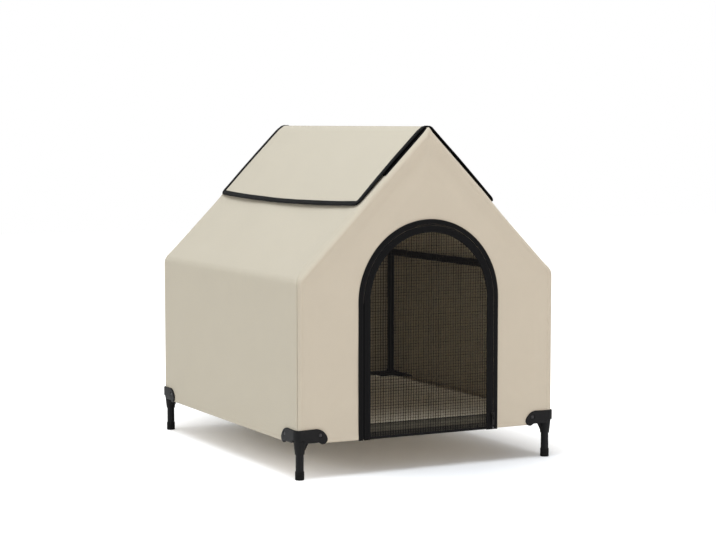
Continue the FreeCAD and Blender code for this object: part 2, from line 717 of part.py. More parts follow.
def door():
    surround = arch_band("door_surround", "door_radius", "surround_width", LEAF_FACE, "surround_thickness")
    keep(surround, "door_surround")
    coil = arch_band("zip_ring", f"({ZIP_RADIUS} - zip_fit)", "(zip_width - zip_fit)",
                     f"({FRONT} + zip_thickness)", "zip_thickness + mesh")
    hinge_zone = box("hinge_zone", (f"-({ZIP_RADIUS} + overrun)", "0"),
                     (f"-({FRONT} + overrun)", f"-({FRONT} - overrun)"),
                     ("hem_height - overrun", "spring_height"))
    keep(combine("Cut", "zip_coil", coil, hinge_zone), "zip_coil")
    tape = box("door_hinge_tape", (f"-({ZIP_RADIUS} - zip_fit)", f"-({LEAF_RADIUS} + door_gap)"),
               (f"-({FRONT} + tape_thickness)", f"-{FRONT}"), ("hem_height", "spring_height"))
    keep(tape, "door_hinge_tape")
    band = arch_band("binding_band", LEAF_RADIUS, "binding_width", LEAF_FACE, "binding_thickness",
                     sill="(hem_height + binding_hem)")
    middle = f"({LEAF_FACE} - binding_thickness / 2)"
    slot = arch_solid("binding_groove", f"({MESH_RADIUS} + mesh_fit)", "hem_height - overrun",
                      f"({middle} + mesh / 2 + mesh_fit)", "mesh + 2 * mesh_fit")
    keep(combine("Cut", "door_binding", band, slot), "door_binding")
    keep(arch_solid("door_mesh", MESH_RADIUS, "hem_height", f"({middle} + mesh / 2)", "mesh"), "door_mesh")


# Zip slider: waisted plate with a bail on its face
def zip_slider():
    body = new_body("zip_slider")
    face = f"({LEAF_FACE} + slider_gap)"
    plate = new_sketch(body, "XZ_Plane", "slider_plate", face)
    half = "slider_width / 2"
    waist = "slider_waist / 2"
    middle = "slider_height / 2"
    trace(plate, [
        (f"-{waist}", "0"), (waist, "0"), (half, middle), (half, "slider_height"),
        (f"-{half}", "slider_height"), (f"-{half}", middle)])
    feature(body, "Pad", plate, "slider_thickness")
    bail = new_sketch(body, "YZ_Plane", "slider_bail")
    near = f"-({face} + slider_thickness - mesh)"
    far = f"-({face} + slider_thickness + bail_space + bail_bar)"
    inside = f"-({face} + slider_thickness + bail_space)"
    low = "(slider_height - bail_height) / 2"
    high = f"({low} + bail_height)"
    trace(bail, [
        (far, low), (near, low), (near, f"{low} + bail_foot"), (inside, f"{low} + bail_foot"),
        (inside, f"{high} - bail_foot"), (near, f"{high} - bail_foot"), (near, high), (far, high)])
    feature(body, "Pad", bail, "bail_width", both=True)
    place(body, PULL_X, "0", "hem_height + slider_lift")
    keep(body, "zip_slider")


PULL_X = f"({LEAF_RADIUS} + door_gap)"
PULL_DEPTH = f"({LEAF_FACE} + slider_gap + slider_thickness + bail_space / 2)"
BAIL_TOP = "(hem_height + slider_lift + (slider_height + bail_height) / 2 - bail_foot)"
PULL_HEIGHT = f"({BAIL_TOP} - pull_rail / 2 - pull_fit / 2)"


# Zip pull: a tab that hangs by its top rail inside the bail
def zip_pull():
    body = new_body("zip_pull")
    outline = new_sketch(body, "XZ_Plane", "pull_outline")
    half = "pull_width / 2"
    top = "pull_rail / 2"
    foot = f"({top} - pull_length)"
    trace(outline, [(f"-{half}", foot), (half, foot), (half, top), (f"-{half}", top)])
    feature(body, "Pad", outline, "pull_thickness", both=True)
    round_edges(body, "pull_rounding", pull_corner_test(foot))
    eye = new_sketch(body, "XZ_Plane", "pull_eye")
    inner = f"({half} - pull_rail)"
    depth = "(bail_height + bail_space + bail_bar + pull_fit)"
    low = f"-{top} - {depth}"
    trace(eye, [(f"-{inner}", low), (inner, low), (inner, f"-{top}"), (f"-{inner}", f"-{top}")])
    feature(body, "Pocket", eye, "2 * pull_thickness", both=True)
    place(body, PULL_X, f"-{PULL_DEPTH}", PULL_HEIGHT)
    keep(body, "zip_pull")


# Test for the two edges through the tab at its lower corners
def pull_corner_test(foot):
    level = value(foot)
    limit = value("pull_fit")
    return lambda edge: edge.BoundBox.YLength > limit and abs(edge.CenterOfMass.z - level) < limit


# Body laid on a roof slope: its own X runs along the slope, Z stands off the roof, zero at the sharp ridge
def roof_body(name, x):
    body = new_body(name)
    place(body, "0", "0", RIDGE, Rotation(ACROSS, 45), f"{x} * {PITCH}")
    return body


# Roof flap of one side with its binding and hook patches
def flap(side, x):
    name = f"{side}_flap"
    panel = keep(flap_slab(name, x, "(flap_binding_width / 2)", "flap_lift", "cloth"), name)
    outer = flap_slab(f"{name}_edge", x, "0", "flap_binding_lift", "flap_binding_thickness")
    outer.Placement = Placement()
    document.recompute()
    round_edges(outer, "flap_corner", flap_corner_test())
    place(outer, "0", "0", RIDGE, Rotation(ACROSS, 45), f"{x} * {PITCH}")
    opening = flap_slab(f"{name}_opening", x, "flap_binding_width", "flap_binding_lift - overrun",
                        "flap_binding_thickness + 2 * overrun", f"{FLAP_START} - overrun")
    rim = combine("Cut", f"{name}_rim", outer, opening)
    keep(combine("Cut", f"{name}_binding", rim, panel), f"{name}_binding")


# Test for the edges through the flap at the ends of its hem
def flap_corner_test():
    hem = value("flap_length")
    reach = value(FLAP_HALF)
    deep = value("flap_binding_thickness") / 2
    limit = value("flap_binding_width")
    return lambda edge: edge.BoundBox.ZLength > deep and (
        abs(abs(edge.CenterOfMass.x) - hem) < limit and abs(abs(edge.CenterOfMass.y) - reach) < limit)


# Slab with a bowed hem, drawn in from the flap's edge by a margin
def flap_slab(name, x, margin, lift, thickness, start=FLAP_START):
    body = roof_body(name, x)
    outline = new_sketch(body, "XY_Plane", f"{name}_outline", lift)
    half = f"({FLAP_HALF} - {margin})"
    hem = f"(flap_length - {margin})"
    bow = f"((pow({FLAP_HALF}, 2) + pow(flap_bow, 2)) / (2 * flap_bow) - {margin})"
    trace(outline, [
        (f"{x} * ({start})", f"-{half}"), (f"{x} * {hem}", f"-{half}", bow, int(x)),
        (f"{x} * {hem}", half), (f"{x} * ({start})", half)])
    feature(body, "Pad", outline, thickness)
    return body


# Two patches near the ends of the hem, seated on or under what carries them
def patches(name, x, lift):
    items = []
    for end, y in ENDS.items():
        body = roof_body(f"{name}_{end}", x)
        outline = new_sketch(body, "XY_Plane", f"{name}_{end}_outline", lift)
        far = "(flap_length - patch_hem_inset)"
        near = f"({far} - patch_width)"
        outside = f"({FLAP_HALF} - patch_end_inset)"
        inside = f"({outside} - patch_length)"
        trace(outline, [
            (f"{x} * {near}", f"{y} * {inside}"), (f"{x} * {far}", f"{y} * {inside}"),
            (f"{x} * {far}", f"{y} * {outside}"), (f"{x} * {near}", f"{y} * {outside}")])
        feature(body, "Pad", outline, "patch_thickness")
        items.append(body)
    return items


# Saddle over the ridge between two lifts
def saddle(name, low, high, half_length):
    body = new_body(name)
    outline = new_sketch(body, "XZ_Plane", f"{name}_outline")
    corners = [saddle_point(x, lift) for x, lift in (("-1", low), ("-1", high))]
    corners += [("0", f"{RIDGE} + ({high}) / {COS}")]
    corners += [saddle_point(x, lift) for x, lift in (("1", high), ("1", low))]
    corners += [("0", f"{RIDGE} + ({low}) / {COS}")]
    trace(outline, corners)
    feature(body, "Pad", outline, f"2 * {half_length}", both=True)
    for lift in (low, high):
        crest = f"{RIDGE} + ({lift}) / {COS}"
        round_edges(body, f"{RIDGE_BEND} + {lift}", long_edge_test(half_length, crest))
    return body


def saddle_point(x, lift):
    across = f"{x} * (strip_reach * {COS} + ({lift}) * {SIN})"
    return across, f"{RIDGE} - strip_reach * {SIN} + ({lift}) * {COS}"


# Strip that sews the flap to the ridge, with a binding across each end
def ridge_strip():
    inner_half = f"({FLAP_HALF} - flap_binding_width)"
    keep(saddle("flap_ridge_strip", "strip_lift", "(flap_lift + cloth)", inner_half), "flap_ridge_strip")
    ends = saddle("strip_ends", "strip_lift", FLAP_TOP, FLAP_HALF)
    middle = box("strip_middle", (f"-{RUN}", RUN), (f"-{inner_half}", inner_half),
                 (f"{RIDGE} - {RUN}", f"{RIDGE} + overrun"))
    keep(combine("Cut", "ridge_strip_binding", ends, middle), "ridge_strip_binding")


def roof_flap():
    ridge_strip()
    loops = []
    for side, x in SIDES.items():
        flap(side, x)
        hooks = patches(f"{side}_hook", x, "flap_binding_lift - patch_thickness")
        keep(gather("Compound", f"{side}_hook_patches", hooks), f"{side}_hook_patches")
        loops += patches(f"{side}_loop", x, "0")
    keep(gather("Compound", "roof_loop_patches", loops), "roof_loop_patches")


for corner_name in CORNERS:
    foot_cap(corner_name)
    corner_bracket(corner_name)
bracket_screws()
base_rails()
uprights()
roof_tubes()
fittings()
bed_sheet()
cover()
door()
zip_slider()
zip_pull()
roof_flap()
document.recompute()

failed = [item.Label for item in document.Objects if {"Invalid", "Error"} & set(item.State)]
for name, item in NODES:
    if item.Shape.isNull() or not item.Shape.isValid() or not item.Shape.Solids:
        failed.append(name)
if failed:
    raise RuntimeError(f"these did not build: {failed}")

os.makedirs("parts", exist_ok=True)
for name, item in NODES:
    item.Shape.exportStep(f"parts/{name}.step")
    print(f"{name}: {len(item.Shape.Solids)} solids, {item.Shape.Volume:.0f} mm3")
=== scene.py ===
"""Looks of the raised dog house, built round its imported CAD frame. Lengths are millimetres."""

import json
import math

import bpy
import numpy as np
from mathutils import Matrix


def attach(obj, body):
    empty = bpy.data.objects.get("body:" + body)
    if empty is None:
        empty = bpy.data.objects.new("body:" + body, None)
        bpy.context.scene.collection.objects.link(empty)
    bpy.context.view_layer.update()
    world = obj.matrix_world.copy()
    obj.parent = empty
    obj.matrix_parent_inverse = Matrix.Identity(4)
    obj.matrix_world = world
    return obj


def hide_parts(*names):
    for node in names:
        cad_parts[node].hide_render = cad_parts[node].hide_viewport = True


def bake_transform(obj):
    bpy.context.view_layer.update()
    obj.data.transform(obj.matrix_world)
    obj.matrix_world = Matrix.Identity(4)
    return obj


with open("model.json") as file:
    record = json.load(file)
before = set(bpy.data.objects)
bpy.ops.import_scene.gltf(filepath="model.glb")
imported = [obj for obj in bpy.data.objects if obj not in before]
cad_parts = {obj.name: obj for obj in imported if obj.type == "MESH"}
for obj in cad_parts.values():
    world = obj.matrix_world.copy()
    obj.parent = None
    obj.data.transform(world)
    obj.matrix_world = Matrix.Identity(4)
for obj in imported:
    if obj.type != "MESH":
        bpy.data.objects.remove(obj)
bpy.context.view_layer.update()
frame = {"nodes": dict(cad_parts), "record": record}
scene = bpy.context.scene

# Main sizes of the frame, the cover, the doorway and the flap
HALF_X, HALF_Y = 350.0, 414.0
HEM, EAVE = 84.0, 464.5
CORNER_R, EAVE_R, RIDGE_R = 12.0, 28.0, 6.0
POST_X, POST_Y, RAIL_Z = 337.0, 401.0, 103.5
NOTCH_REACH, NOTCH_TOP = 66.0, 113.0
VENT_X = 113.0
SPRING, ARCH_RISE, DOORWAY = 405.0, 1.012, 182.0
FLAP_S, FLAP_BOW, FLAP_Y, FLAP_CORNER = 262.0, 11.0, 400.0, 18.0
C45 = math.sqrt(0.5)

# Lie of the cover: edges drawn down, tips of the gables, seam strips, hems, slack and folds
DRAWN = 16.0
PEAK, PEAK_SPREAD = 2.9, 9.0
PEAK_FADE_FRONT, PEAK_FADE_REAR = 70, 260
WALL_TURN, VENT_TURN, TOPSTITCH_BACK = math.radians(46), math.radians(78), math.radians(22)
STRIP, GROOVE, TURN_IN, TOPSTITCH_IN, SEAM_DIP = 0.75, 0.5, 2.4, 2.5, 1.7
FACE_INSET = 9.0
HEM_STEP, HEM_STITCH = 0.6, 10.0
GABLE_IN, WALL_IN, ROOF_SAG = 2.2, 0.8, 2.2
FOLD_X, FOLD_Z, FOLD_SPREAD = 300.0, 118.0, 0.13
FOLDS = ((0.5, 0.9), (0.95, 0.7), (1.3, 0.5))
CLOTH_THICK = 1.2

# Points that the faces of the cover and of the door look away from
MIDDLE, DOOR_BACK = (0, 0, 380), (0, 0, 330)


# Materials


class Shader:
    """A node tree of a material or of the world, built up call by call."""

    def __init__(self, owner, surface="Principled BSDF"):
        self.owner = owner
        owner.use_nodes = True
        self.tree = owner.node_tree
        self.surface = self.tree.nodes[surface]

    def put(self, socket, value):
        if isinstance(value, bpy.types.NodeSocket):
            self.tree.links.new(value, socket)
        elif value is not None:
            socket.default_value = value

    def fill(self, made, **inputs):
        """Sets a node's inputs by their names, with _ for a space, and gives its first output."""
        for name, value in inputs.items():
            self.put(made.inputs[name.replace("_", " ")], value)
        return made.outputs[0]

    def node(self, kind, *inputs, **settings):
        """A new node with its settings, and its first inputs in order."""
        made = self.tree.nodes.new("ShaderNode" + kind)
        for key, value in settings.items():
            setattr(made, key, value)
        for socket, value in zip(made.inputs, inputs):
            self.put(socket, value)
        return made

    def math(self, operation, *inputs):
        return self.node("Math", *inputs, operation=operation).outputs[0]

    def span(self, value, low, high):
        """A 0 to 1 value stretched to low to high."""
        return self.math("MULTIPLY_ADD", value, high - low, low)

    def mix(self, factor, first, second, blend="MIX"):
        made = self.node("Mix", data_type="RGBA", blend_type=blend)
        for socket, value in ((0, factor), (6, first), (7, second)):
            self.put(made.inputs[socket], value)
        return made.outputs[2]

    def place(self):
        return self.node("TexCoord").outputs["Object"]

    def noise(self, scale, detail, rough=0.5):
        return self.fill(self.node("TexNoise"), Vector=self.place(), Scale=scale, Detail=detail,
                         Roughness=rough)

    def weave_axes(self):
        """The two directions of the cloth in metres."""
        split = self.node("SeparateXYZ", self.node("UVMap", uv_map="weave").outputs[0])
        return split.outputs[0], split.outputs[1]

    def bump(self, height, depth, strength, after=None):
        return self.fill(self.node("Bump"), Strength=strength, Distance=depth, Height=height,
                         Normal=after)

    def show(self, made):
        """Sends another shader node to the material's output."""
        self.tree.links.new(made.outputs[0], self.tree.nodes["Material Output"].inputs[0])

    def finish(self, **inputs):
        self.fill(self.surface, **inputs)
        return self.owner


def tint(colour, share):
    return tuple(min(1.0, c * share) for c in colour) + (1.0,)


def woven(name, colour, pitch, depth, rough, crown_highlight=1.1, hollow_shade=0.86, mottle=0.05, sheen=0.0,
          slant=0.0, shine=0.1, through=0.0):
    """Plain weave, or a twill where slant is 1, of threads that pass over and under each other.

    A thread's crown is tinted light and its sides dark, as painted highlight and painted shade;
    through is the share of translucent light.
    """
    s = Shader(bpy.data.materials.new(name))
    u, v = s.weave_axes()
    turn = math.pi / (pitch / 1000)
    across = s.math("SINE", s.math("MULTIPLY", u, turn))
    along = s.math("SINE", s.math("MULTIPLY", s.math("MULTIPLY_ADD", u, slant, v), turn))
    over = s.math("GREATER_THAN", s.math("MULTIPLY", across, along), 0.0)
    under = s.math("SUBTRACT", 1.0, over)
    height = s.math("ADD", s.math("MULTIPLY", over, s.math("ABSOLUTE", across)),
                    s.math("MULTIPLY", under, s.math("ABSOLUTE", along)))
    yarn = s.noise(scale=900.0, detail=1.0)
    cloud = s.noise(scale=7.0, detail=4.0, rough=0.6)
    patchy = s.noise(scale=55.0, detail=3.0, rough=0.55)
    # Painted highlight on the threads' crowns and painted shade on their sides, following the
    # weave's height
    thread = s.mix(height, tint(colour, hollow_shade), tint(colour, crown_highlight))
    fade = 1.6 * mottle
    worn = s.mix(s.span(cloud, -0.35, 1.35), tint(colour, 1 - fade), tint(colour, 1 + fade))
    speckle = s.mix(s.math("MULTIPLY_ADD", patchy, 0.6, s.math("MULTIPLY", yarn, 0.4)),
                    (1 - mottle,) * 3 + (1,), (1 + mottle,) * 3 + (1,))
    final = s.mix(0.25, s.mix(1.0, thread, speckle, "MULTIPLY"), worn)
    lumps = s.bump(patchy, depth=0.0005, strength=0.25)
    relief = s.math("MULTIPLY_ADD", yarn, 0.35, height)
    s.finish(Base_Color=final, Roughness=s.span(patchy, rough - 0.08, rough + 0.08),
             Normal=s.bump(relief, depth=depth / 1000, strength=0.8, after=lumps),
             Sheen_Weight=sheen, Sheen_Roughness=0.45, Specular_IOR_Level=shine)
    if through:
        lit = s.node("BsdfTranslucent", final)
        s.show(s.node("MixShader", through, s.surface.outputs[0], lit.outputs[0]))
    return s.owner


def moulded(name, colour, rough, grain, depth, metallic=0.0, wear=0.25, shine=0.15):
    """Rigid black parts: a fine grain, uneven gloss and paler rubbed spots."""
    s = Shader(bpy.data.materials.new(name))
    fine = s.noise(scale=grain, detail=3.0, rough=0.6)
    cloud = s.noise(scale=26.0, detail=4.0, rough=0.6)
    spots = s.math("POWER", s.noise(scale=60.0, detail=5.0, rough=0.7), 5.0)
    rub = s.math("SMOOTH_MIN", 1.0, s.math("MULTIPLY", spots, 9.0), 0.1)
    base = s.mix(s.span(cloud, -0.2, 1.2), tint(colour, 0.82), tint(colour, 1.2))
    final = s.mix(s.math("MULTIPLY", rub, wear), base, tint(colour, 2.6))
    gloss = s.span(cloud, rough - 0.09, rough + 0.09)
    return s.finish(Base_Color=final, Metallic=metallic, Specular_IOR_Level=shine,
                    Roughness=s.math("ADD", gloss, s.math("MULTIPLY", fine, 0.06)),
                    Normal=s.bump(fine, depth=depth / 1000, strength=0.7))


def napped(name, colour):
    """Hook and loop tape: a pile of small loops, paler on their tops and darker between them as
    painted highlight and painted shade.
    """
    s = Shader(bpy.data.materials.new(name))
    loops = s.fill(s.node("TexVoronoi", s.place()), Scale=1400.0)
    tuft = s.noise(scale=420.0, detail=4.0, rough=0.7)
    # Paler on the loops' raised parts and darker between them: painted highlight and painted shade,
    # broken up by random tufts
    final = s.mix(s.math("MULTIPLY", loops, tuft), tint(colour, 0.6), tint(colour, 2.4))
    return s.finish(Base_Color=final, Roughness=s.span(tuft, 0.85, 1.0), Sheen_Weight=0.08,
                    Sheen_Roughness=0.5, Specular_IOR_Level=0.1,
                    Normal=s.bump(loops, depth=0.0006, strength=0.9))


# Woven: colour, pitch and depth of the threads, roughness
CLOTH = woven("cover_cloth", (0.597, 0.54, 0.428), 0.8, 0.12, 0.72, mottle=0.035, sheen=0.08,
              shine=0.2, through=0.22)
TAPE = woven("trim_tape", (0.0034, 0.0034, 0.0036), 1.1, 0.25, 0.62, crown_highlight=1.5, hollow_shade=0.6,
             mottle=0.12, slant=1.0, shine=0.06)
SCREEN = woven("screen_thread", (0.005, 0.0048, 0.0046), 0.6, 0.08, 0.5, crown_highlight=1.4, hollow_shade=0.7,
               mottle=0.1, shine=0.05)
BED = woven("bed_textile", (0.78, 0.70, 0.55), 2.2, 0.5, 0.6, crown_highlight=1.1, hollow_shade=0.7, mottle=0.08,
            through=0.3)
# Painted shade: the end sleeves are the bed's own textile, coloured dark to stand in for the shadow
# along the bed's front and rear rails
PAINTED_SHADE_SLEEVE = woven("bed_sleeve_painted_shade", (0.112, 0.102, 0.074), 1.1, 0.25, 0.62, crown_highlight=1.3, hollow_shade=0.7,
               mottle=0.1, shine=0.06)
THREAD_PALE = woven("pale_thread", (0.56, 0.50, 0.39), 0.35, 0.1, 0.6, crown_highlight=1.15, hollow_shade=0.7)
THREAD_DARK = woven("dark_thread", (0.011, 0.011, 0.0115), 0.35, 0.1, 0.5, crown_highlight=1.6, hollow_shade=0.6)
# Moulded: colour, roughness, scale and depth of the grain
COIL = moulded("zip_nylon", (0.009, 0.009, 0.0095), 0.42, 900.0, 0.03, wear=0.4)
STEEL = moulded("powder_coat", (0.006, 0.0062, 0.0066), 0.42, 1100.0, 0.06, wear=0.18, shine=0.1)
PLASTIC = moulded("moulded_plastic", (0.006, 0.0061, 0.0063), 0.5, 1500.0, 0.09, wear=0.3,
                  shine=0.1)
RUBBER = moulded("foot_rubber", (0.006, 0.006, 0.0059), 0.78, 700.0, 0.12, wear=0.5, shine=0.08)
ZIP_METAL = moulded("zip_metal", (0.016, 0.0155, 0.015), 0.34, 500.0, 0.02, metallic=1.0, wear=0.5)
SCREW = moulded("screw_steel", (0.03, 0.03, 0.031), 0.4, 800.0, 0.02, metallic=1.0, wear=0.4)
HOOKS = napped("hook_and_loop", (0.011, 0.011, 0.0115))

RIGID = {
    "powder_coated_steel": STEEL, "moulded_plastic": PLASTIC, "foot_rubber": RUBBER,
    "zip_metal": ZIP_METAL, "screw_steel": SCREW,
}
for subpart in frame["record"]["subparts"]:
    finish = RIGID.get(subpart["material_slot"])
    if finish:
        holder = frame["nodes"][subpart["node"]]
        if not holder.material_slots:
            holder.data.materials.append(finish)
        for place in holder.material_slots:
            place.material = finish


# Mesh helpers


class Pile:
    """Vertices and faces of one piece, added as grids or small solids."""

    def __init__(self):
        self.points, self.faces, self.uv, self.count = [], [], [], 0

    def add(self, points, faces, uv):
        self.faces += [[corner + self.count for corner in face] for face in faces]
        self.points.append(points)
        self.uv.append(uv)
        self.count += len(points)

    def grid(self, points, uv, close=False):
        """Quads over rows of points, where close joins the last column to the first."""
        rows, columns = points.shape[:2]
        index = np.arange(rows * columns).reshape(rows, columns)
        if close:
            index = np.concatenate([index, index[:, :1]], 1)
        quads = np.stack([index[:-1, :-1], index[1:, :-1], index[1:, 1:], index[:-1, 1:]], -1)
        start = self.count
        self.add(points.reshape(-1, 3), quads.reshape(-1, 4).tolist(), uv.reshape(-1, 2))
        return index + start

    def piece(self, name, material, outward=None, thick=None, smooth=True, body="frame",
              slot=None, weld=False):
        """The piece as an object.

        Outward is a point that its faces look away from, and weld joins points at one place.
        """
        points, uv, faces = np.concatenate(self.points), np.concatenate(self.uv), self.faces
        if weld:
            spots = np.round(points, 3) + 0.0
            _, first, twin = np.unique(spots, axis=0, return_index=True, return_inverse=True)
            points, uv, twin = points[first], uv[first], twin.ravel().tolist()
            faces = [list(dict.fromkeys(twin[corner] for corner in face)) for face in faces]
            faces = [face for face in faces if len(face) > 2]
        if outward is not None:
            ring = np.array([face[:3] for face in faces])
            a, b, c = points[ring[:, 0]], points[ring[:, 1]], points[ring[:, 2]]
            facing = (np.cross(b - a, c - a) * (a - np.array(outward))).sum()
            if facing < 0:
                faces = [face[::-1] for face in faces]
        mesh = bpy.data.meshes.new(name)
        mesh.from_pydata((points / 1000).tolist(), [], faces)
        mesh.polygons.foreach_set("use_smooth", [smooth] * len(mesh.polygons))
        corners = np.empty(len(mesh.loops), np.int32)
        mesh.loops.foreach_get("vertex_index", corners)
        chart = (uv[corners] / 1000).astype(np.float32).ravel()
        mesh.uv_layers.new(name="weave").data.foreach_set("uv", chart)
        mesh.materials.append(material)
        item = bpy.data.objects.new(name, mesh)
        scene.collection.objects.link(item)
        if thick:
            shell = item.modifiers.new("thickness", "SOLIDIFY")
            shell.thickness = thick / 1000
            shell.offset = -1
        if body:
            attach(item, body)
        return item


def coords(*parts):
    """Coordinates side by side in a last axis, each stretched to the shape of all."""
    return np.stack(np.broadcast_arrays(*parts), -1)


def straight(first, last):
    return np.array([first, last], float)


def spaced(start, *runs):
    """Values from start through runs of (end, count), even within a run, its start counted too."""
    parts = [[start]]
    for end, count in runs:
        parts.append(np.linspace(parts[-1][-1], end, count)[1:])
    return np.concatenate(parts)


def ease(value, low, high):
    """0 up to low and 1 from high on, with a smooth rise between them."""
    share = np.clip((value - low) / (high - low), 0, 1)
    return share * share * (3 - 2 * share)


def plateau(value, low, full, fall, gone):
    """A smooth rise from 0 to 1 and a fall back to 0."""
    return ease(value, low, full) * (1 - ease(value, fall, gone))


def bell(value, middle, width):
    """1 at the middle, falling off to both sides."""
    return np.exp(-(((value - middle) / width) ** 2))


def ripple(a, b, wave, seed):
    """Soft random undulation over two lengths, about 1 high, with waves about that long."""
    source = np.random.default_rng(seed)
    total = 0
    for _ in range(7):
        angle, phase = source.uniform(0, 2 * math.pi, 2)
        size = wave * source.uniform(0.7, 1.6)
        way = a * math.cos(angle) + b * math.sin(angle)
        total = total + np.sin(2 * math.pi * way / size + phase)
    return total / 2.65


def slack(a, b, seed, broad, fine):
    """Lie of loose cloth, from the (height, wave length) of its broad and its fine ripples."""
    return broad[0] * ripple(a, b, broad[1], seed) + fine[0] * ripple(a, b, fine[1], seed + 1)


def pucker(v, height, pitch, stray, wave, seed):
    """Small waves along a seam at an uneven pitch."""
    return height * np.sin(v * 2 * math.pi / pitch + stray * ripple(v, 0 * v, wave, seed))


def measure(path):
    """Length along a path at each of its points."""
    return np.concatenate([[0], np.cumsum(np.linalg.norm(np.diff(path, axis=0), axis=1))])


def at_marks(marks, far, values):
    """Rows of values, known at the lengths far, at other lengths."""
    return np.stack([np.interp(marks, far, column) for column in values.T], 1)


def resample(path, step):
    """The path at an even spacing near step."""
    far = measure(path)
    marks = np.linspace(0, far[-1], max(2, round(far[-1] / step) + 1))
    return at_marks(marks, far, path)


def left_of(path):
    """Unit vectors to the left of a flat path's way."""
    way = np.gradient(path, axis=0)
    way /= np.linalg.norm(way, axis=1, keepdims=True)
    return coords(-way[:, 1], way[:, 0])


def right_turn(vectors):
    return coords(vectors[:, 1], -vectors[:, 0])


def tape_section(width, low, high, edge=0.7, crown=0.15):
    """Closed section of a flat tape: across from its outer edge, and up from the surface."""
    e = min(edge, (high - low) / 2.2)
    under = [(0, low + e), (e, low), (width * 0.5, low), (width - e, low)]
    far_side = [(width, low + e), (width, high - e)]
    top = [(width * 0.66, high + crown), (width * 0.33, high + crown)]
    return under + far_side + [(width - e, high), *top, (e, high), (0, high - e)]


def lifted(flat, lift, wobble):
    """Lifts of flat points off a surface, with the lie that the cloth has there."""
    lift = np.broadcast_to(lift, flat.shape[:2])
    return lift if wobble is None else lift + wobble(flat[..., 0], flat[..., 1])


def sweep(pile, to_space, path, section, wobble=None):
    """A closed section carried along a flat path, to the left of its way, and laid on a surface."""
    section = np.array(section, float)
    flat = path[:, None, :] + left_of(path)[:, None, :] * section[None, :, :1]
    points = to_space(flat, lifted(flat, section[:, 1], wobble))
    index = pile.grid(points, coords(measure(path)[:, None], measure(section)), close=True)
    pile.faces += [index[0, :-1].tolist(), index[-1, -2::-1].tolist()]


STITCH_PITCH, STITCH_LENGTH, STITCH_WIDTH = 4.6, 3.5, 0.75
STITCH_FACES = [[0, 2, 1], [0, 3, 2], [1, 2, 5, 4], [2, 3, 6, 5], [4, 5, 8, 7], [5, 6, 9, 8],
                [7, 8, 10], [8, 9, 10]]


def stitches(pile, to_space, path, lift, height=0.45, wobble=None):
    """A line of lockstitches: short bowed threads that dive into the cloth at both ends."""
    path = resample(path, 1.0)
    far = measure(path)
    marks = np.arange(STITCH_PITCH, far[-1] - STITCH_PITCH / 2, STITCH_PITCH)
    at, aside = at_marks(marks, far, path), at_marks(marks, far, left_of(path))
    half, side = STITCH_LENGTH / 2, STITCH_WIDTH / 2
    near, shoulder, dive = 0.7 * half, 0.8 * height, -0.15
    shape = np.array([
        (-half, 0, dive), (-near, -side, 0), (-near, 0, shoulder), (-near, side, 0),
        (0, -side, 0.05), (0, 0, height), (0, side, 0.05),
        (near, -side, 0), (near, 0, shoulder), (near, side, 0), (half, 0, dive)])
    flat = at[:, None] + right_turn(aside)[:, None] * shape[:, :1] + aside[:, None] * shape[:, 1:2]
    points = to_space(flat, lifted(flat, shape[:, 2] + lift, wobble))
    for one, chart in zip(points, coords(marks[:, None] + shape[:, 0], shape[:, 1])):
        pile.add(one, STITCH_FACES, chart)


# Surfaces of the cover

# Lengths up a wall, round the eave, up the slope and over the ridge
EAVE_T = EAVE_R * math.tan(math.pi / 8)
WALL = EAVE - EAVE_T - HEM
BEND = EAVE_R * math.pi / 4
SLOPE = HALF_X / C45 - EAVE_T - RIDGE_R
CREST = RIDGE_R * math.pi / 4
TOP = WALL + BEND + SLOPE + CREST
VENT_V = WALL + BEND + SLOPE - (VENT_X / C45 - RIDGE_R)


def outline(v):
    """x, z and outward normal of the right half of the gable, by the length up from the hem."""
    v = np.asarray(v, float)
    up = np.clip(v, 0, WALL)
    bend = np.clip((v - WALL) / EAVE_R, 0, math.pi / 4)
    slope = np.clip(v - WALL - BEND, 0, SLOPE)
    crest = np.clip((v - WALL - BEND - SLOPE) / RIDGE_R, 0, math.pi / 4)
    over = math.pi / 4 + crest
    x = HALF_X + EAVE_R * (np.cos(bend) - 1) - slope * C45 + RIDGE_R * (np.cos(over) - C45)
    z = HEM + up + EAVE_R * np.sin(bend) + slope * C45 + RIDGE_R * (np.sin(over) - C45)
    return x, z, np.cos(bend + crest), np.sin(bend + crest)


def on_cover(side, v, y, lift):
    """A point of a wall and its roof slope, by the length up from the hem."""
    x, z, nx, nz = outline(v)
    return coords(side * (x + lift * nx), y, z + lift * nz)


def edge_depth(v):
    """Depth of a gable's rounded edge, which is drawn further back on the slopes below the vent."""
    drawn = plateau(v, WALL - 10, WALL + BEND + 25, VENT_V - 150, VENT_V - 50)
    return CORNER_R + DRAWN * drawn


def on_rim(side, v, turn, end, inset=0.0, lift=0.0):
    """A point of a gable's rounded edge; turn 0 faces like the gable, inset runs in over it."""
    x, z, nx, nz = outline(v)
    deep = edge_depth(v)
    reach = (CORNER_R + lift) * np.sin(turn) - CORNER_R - inset
    across = np.maximum(x + reach * nx, 0)
    y = end * (HALF_Y - deep + (deep + lift) * np.cos(turn))
    return coords(side * across, y, z + reach * nz)


def slope_v(s):
    """Length up from the hem, for a length down the slope from the sharp ridge."""
    return np.where(s > RIDGE_R, TOP - CREST - (s - RIDGE_R), TOP - s / RIDGE_R * CREST)


def roof(side):
    """Lays flat (s, y) points on one slope."""
    return lambda flat, lift: on_cover(side, slope_v(flat[..., 0]), flat[..., 1], lift)


def wall(side):
    """Lays flat (y, v) points on one wall."""
    return lambda flat, lift: on_cover(side, flat[..., 1], flat[..., 0], lift)


def gable(end):
    """Lays flat (x, z) points on a gable."""
    return lambda flat, lift: coords(flat[..., 0], end * (HALF_Y + lift), flat[..., 1])


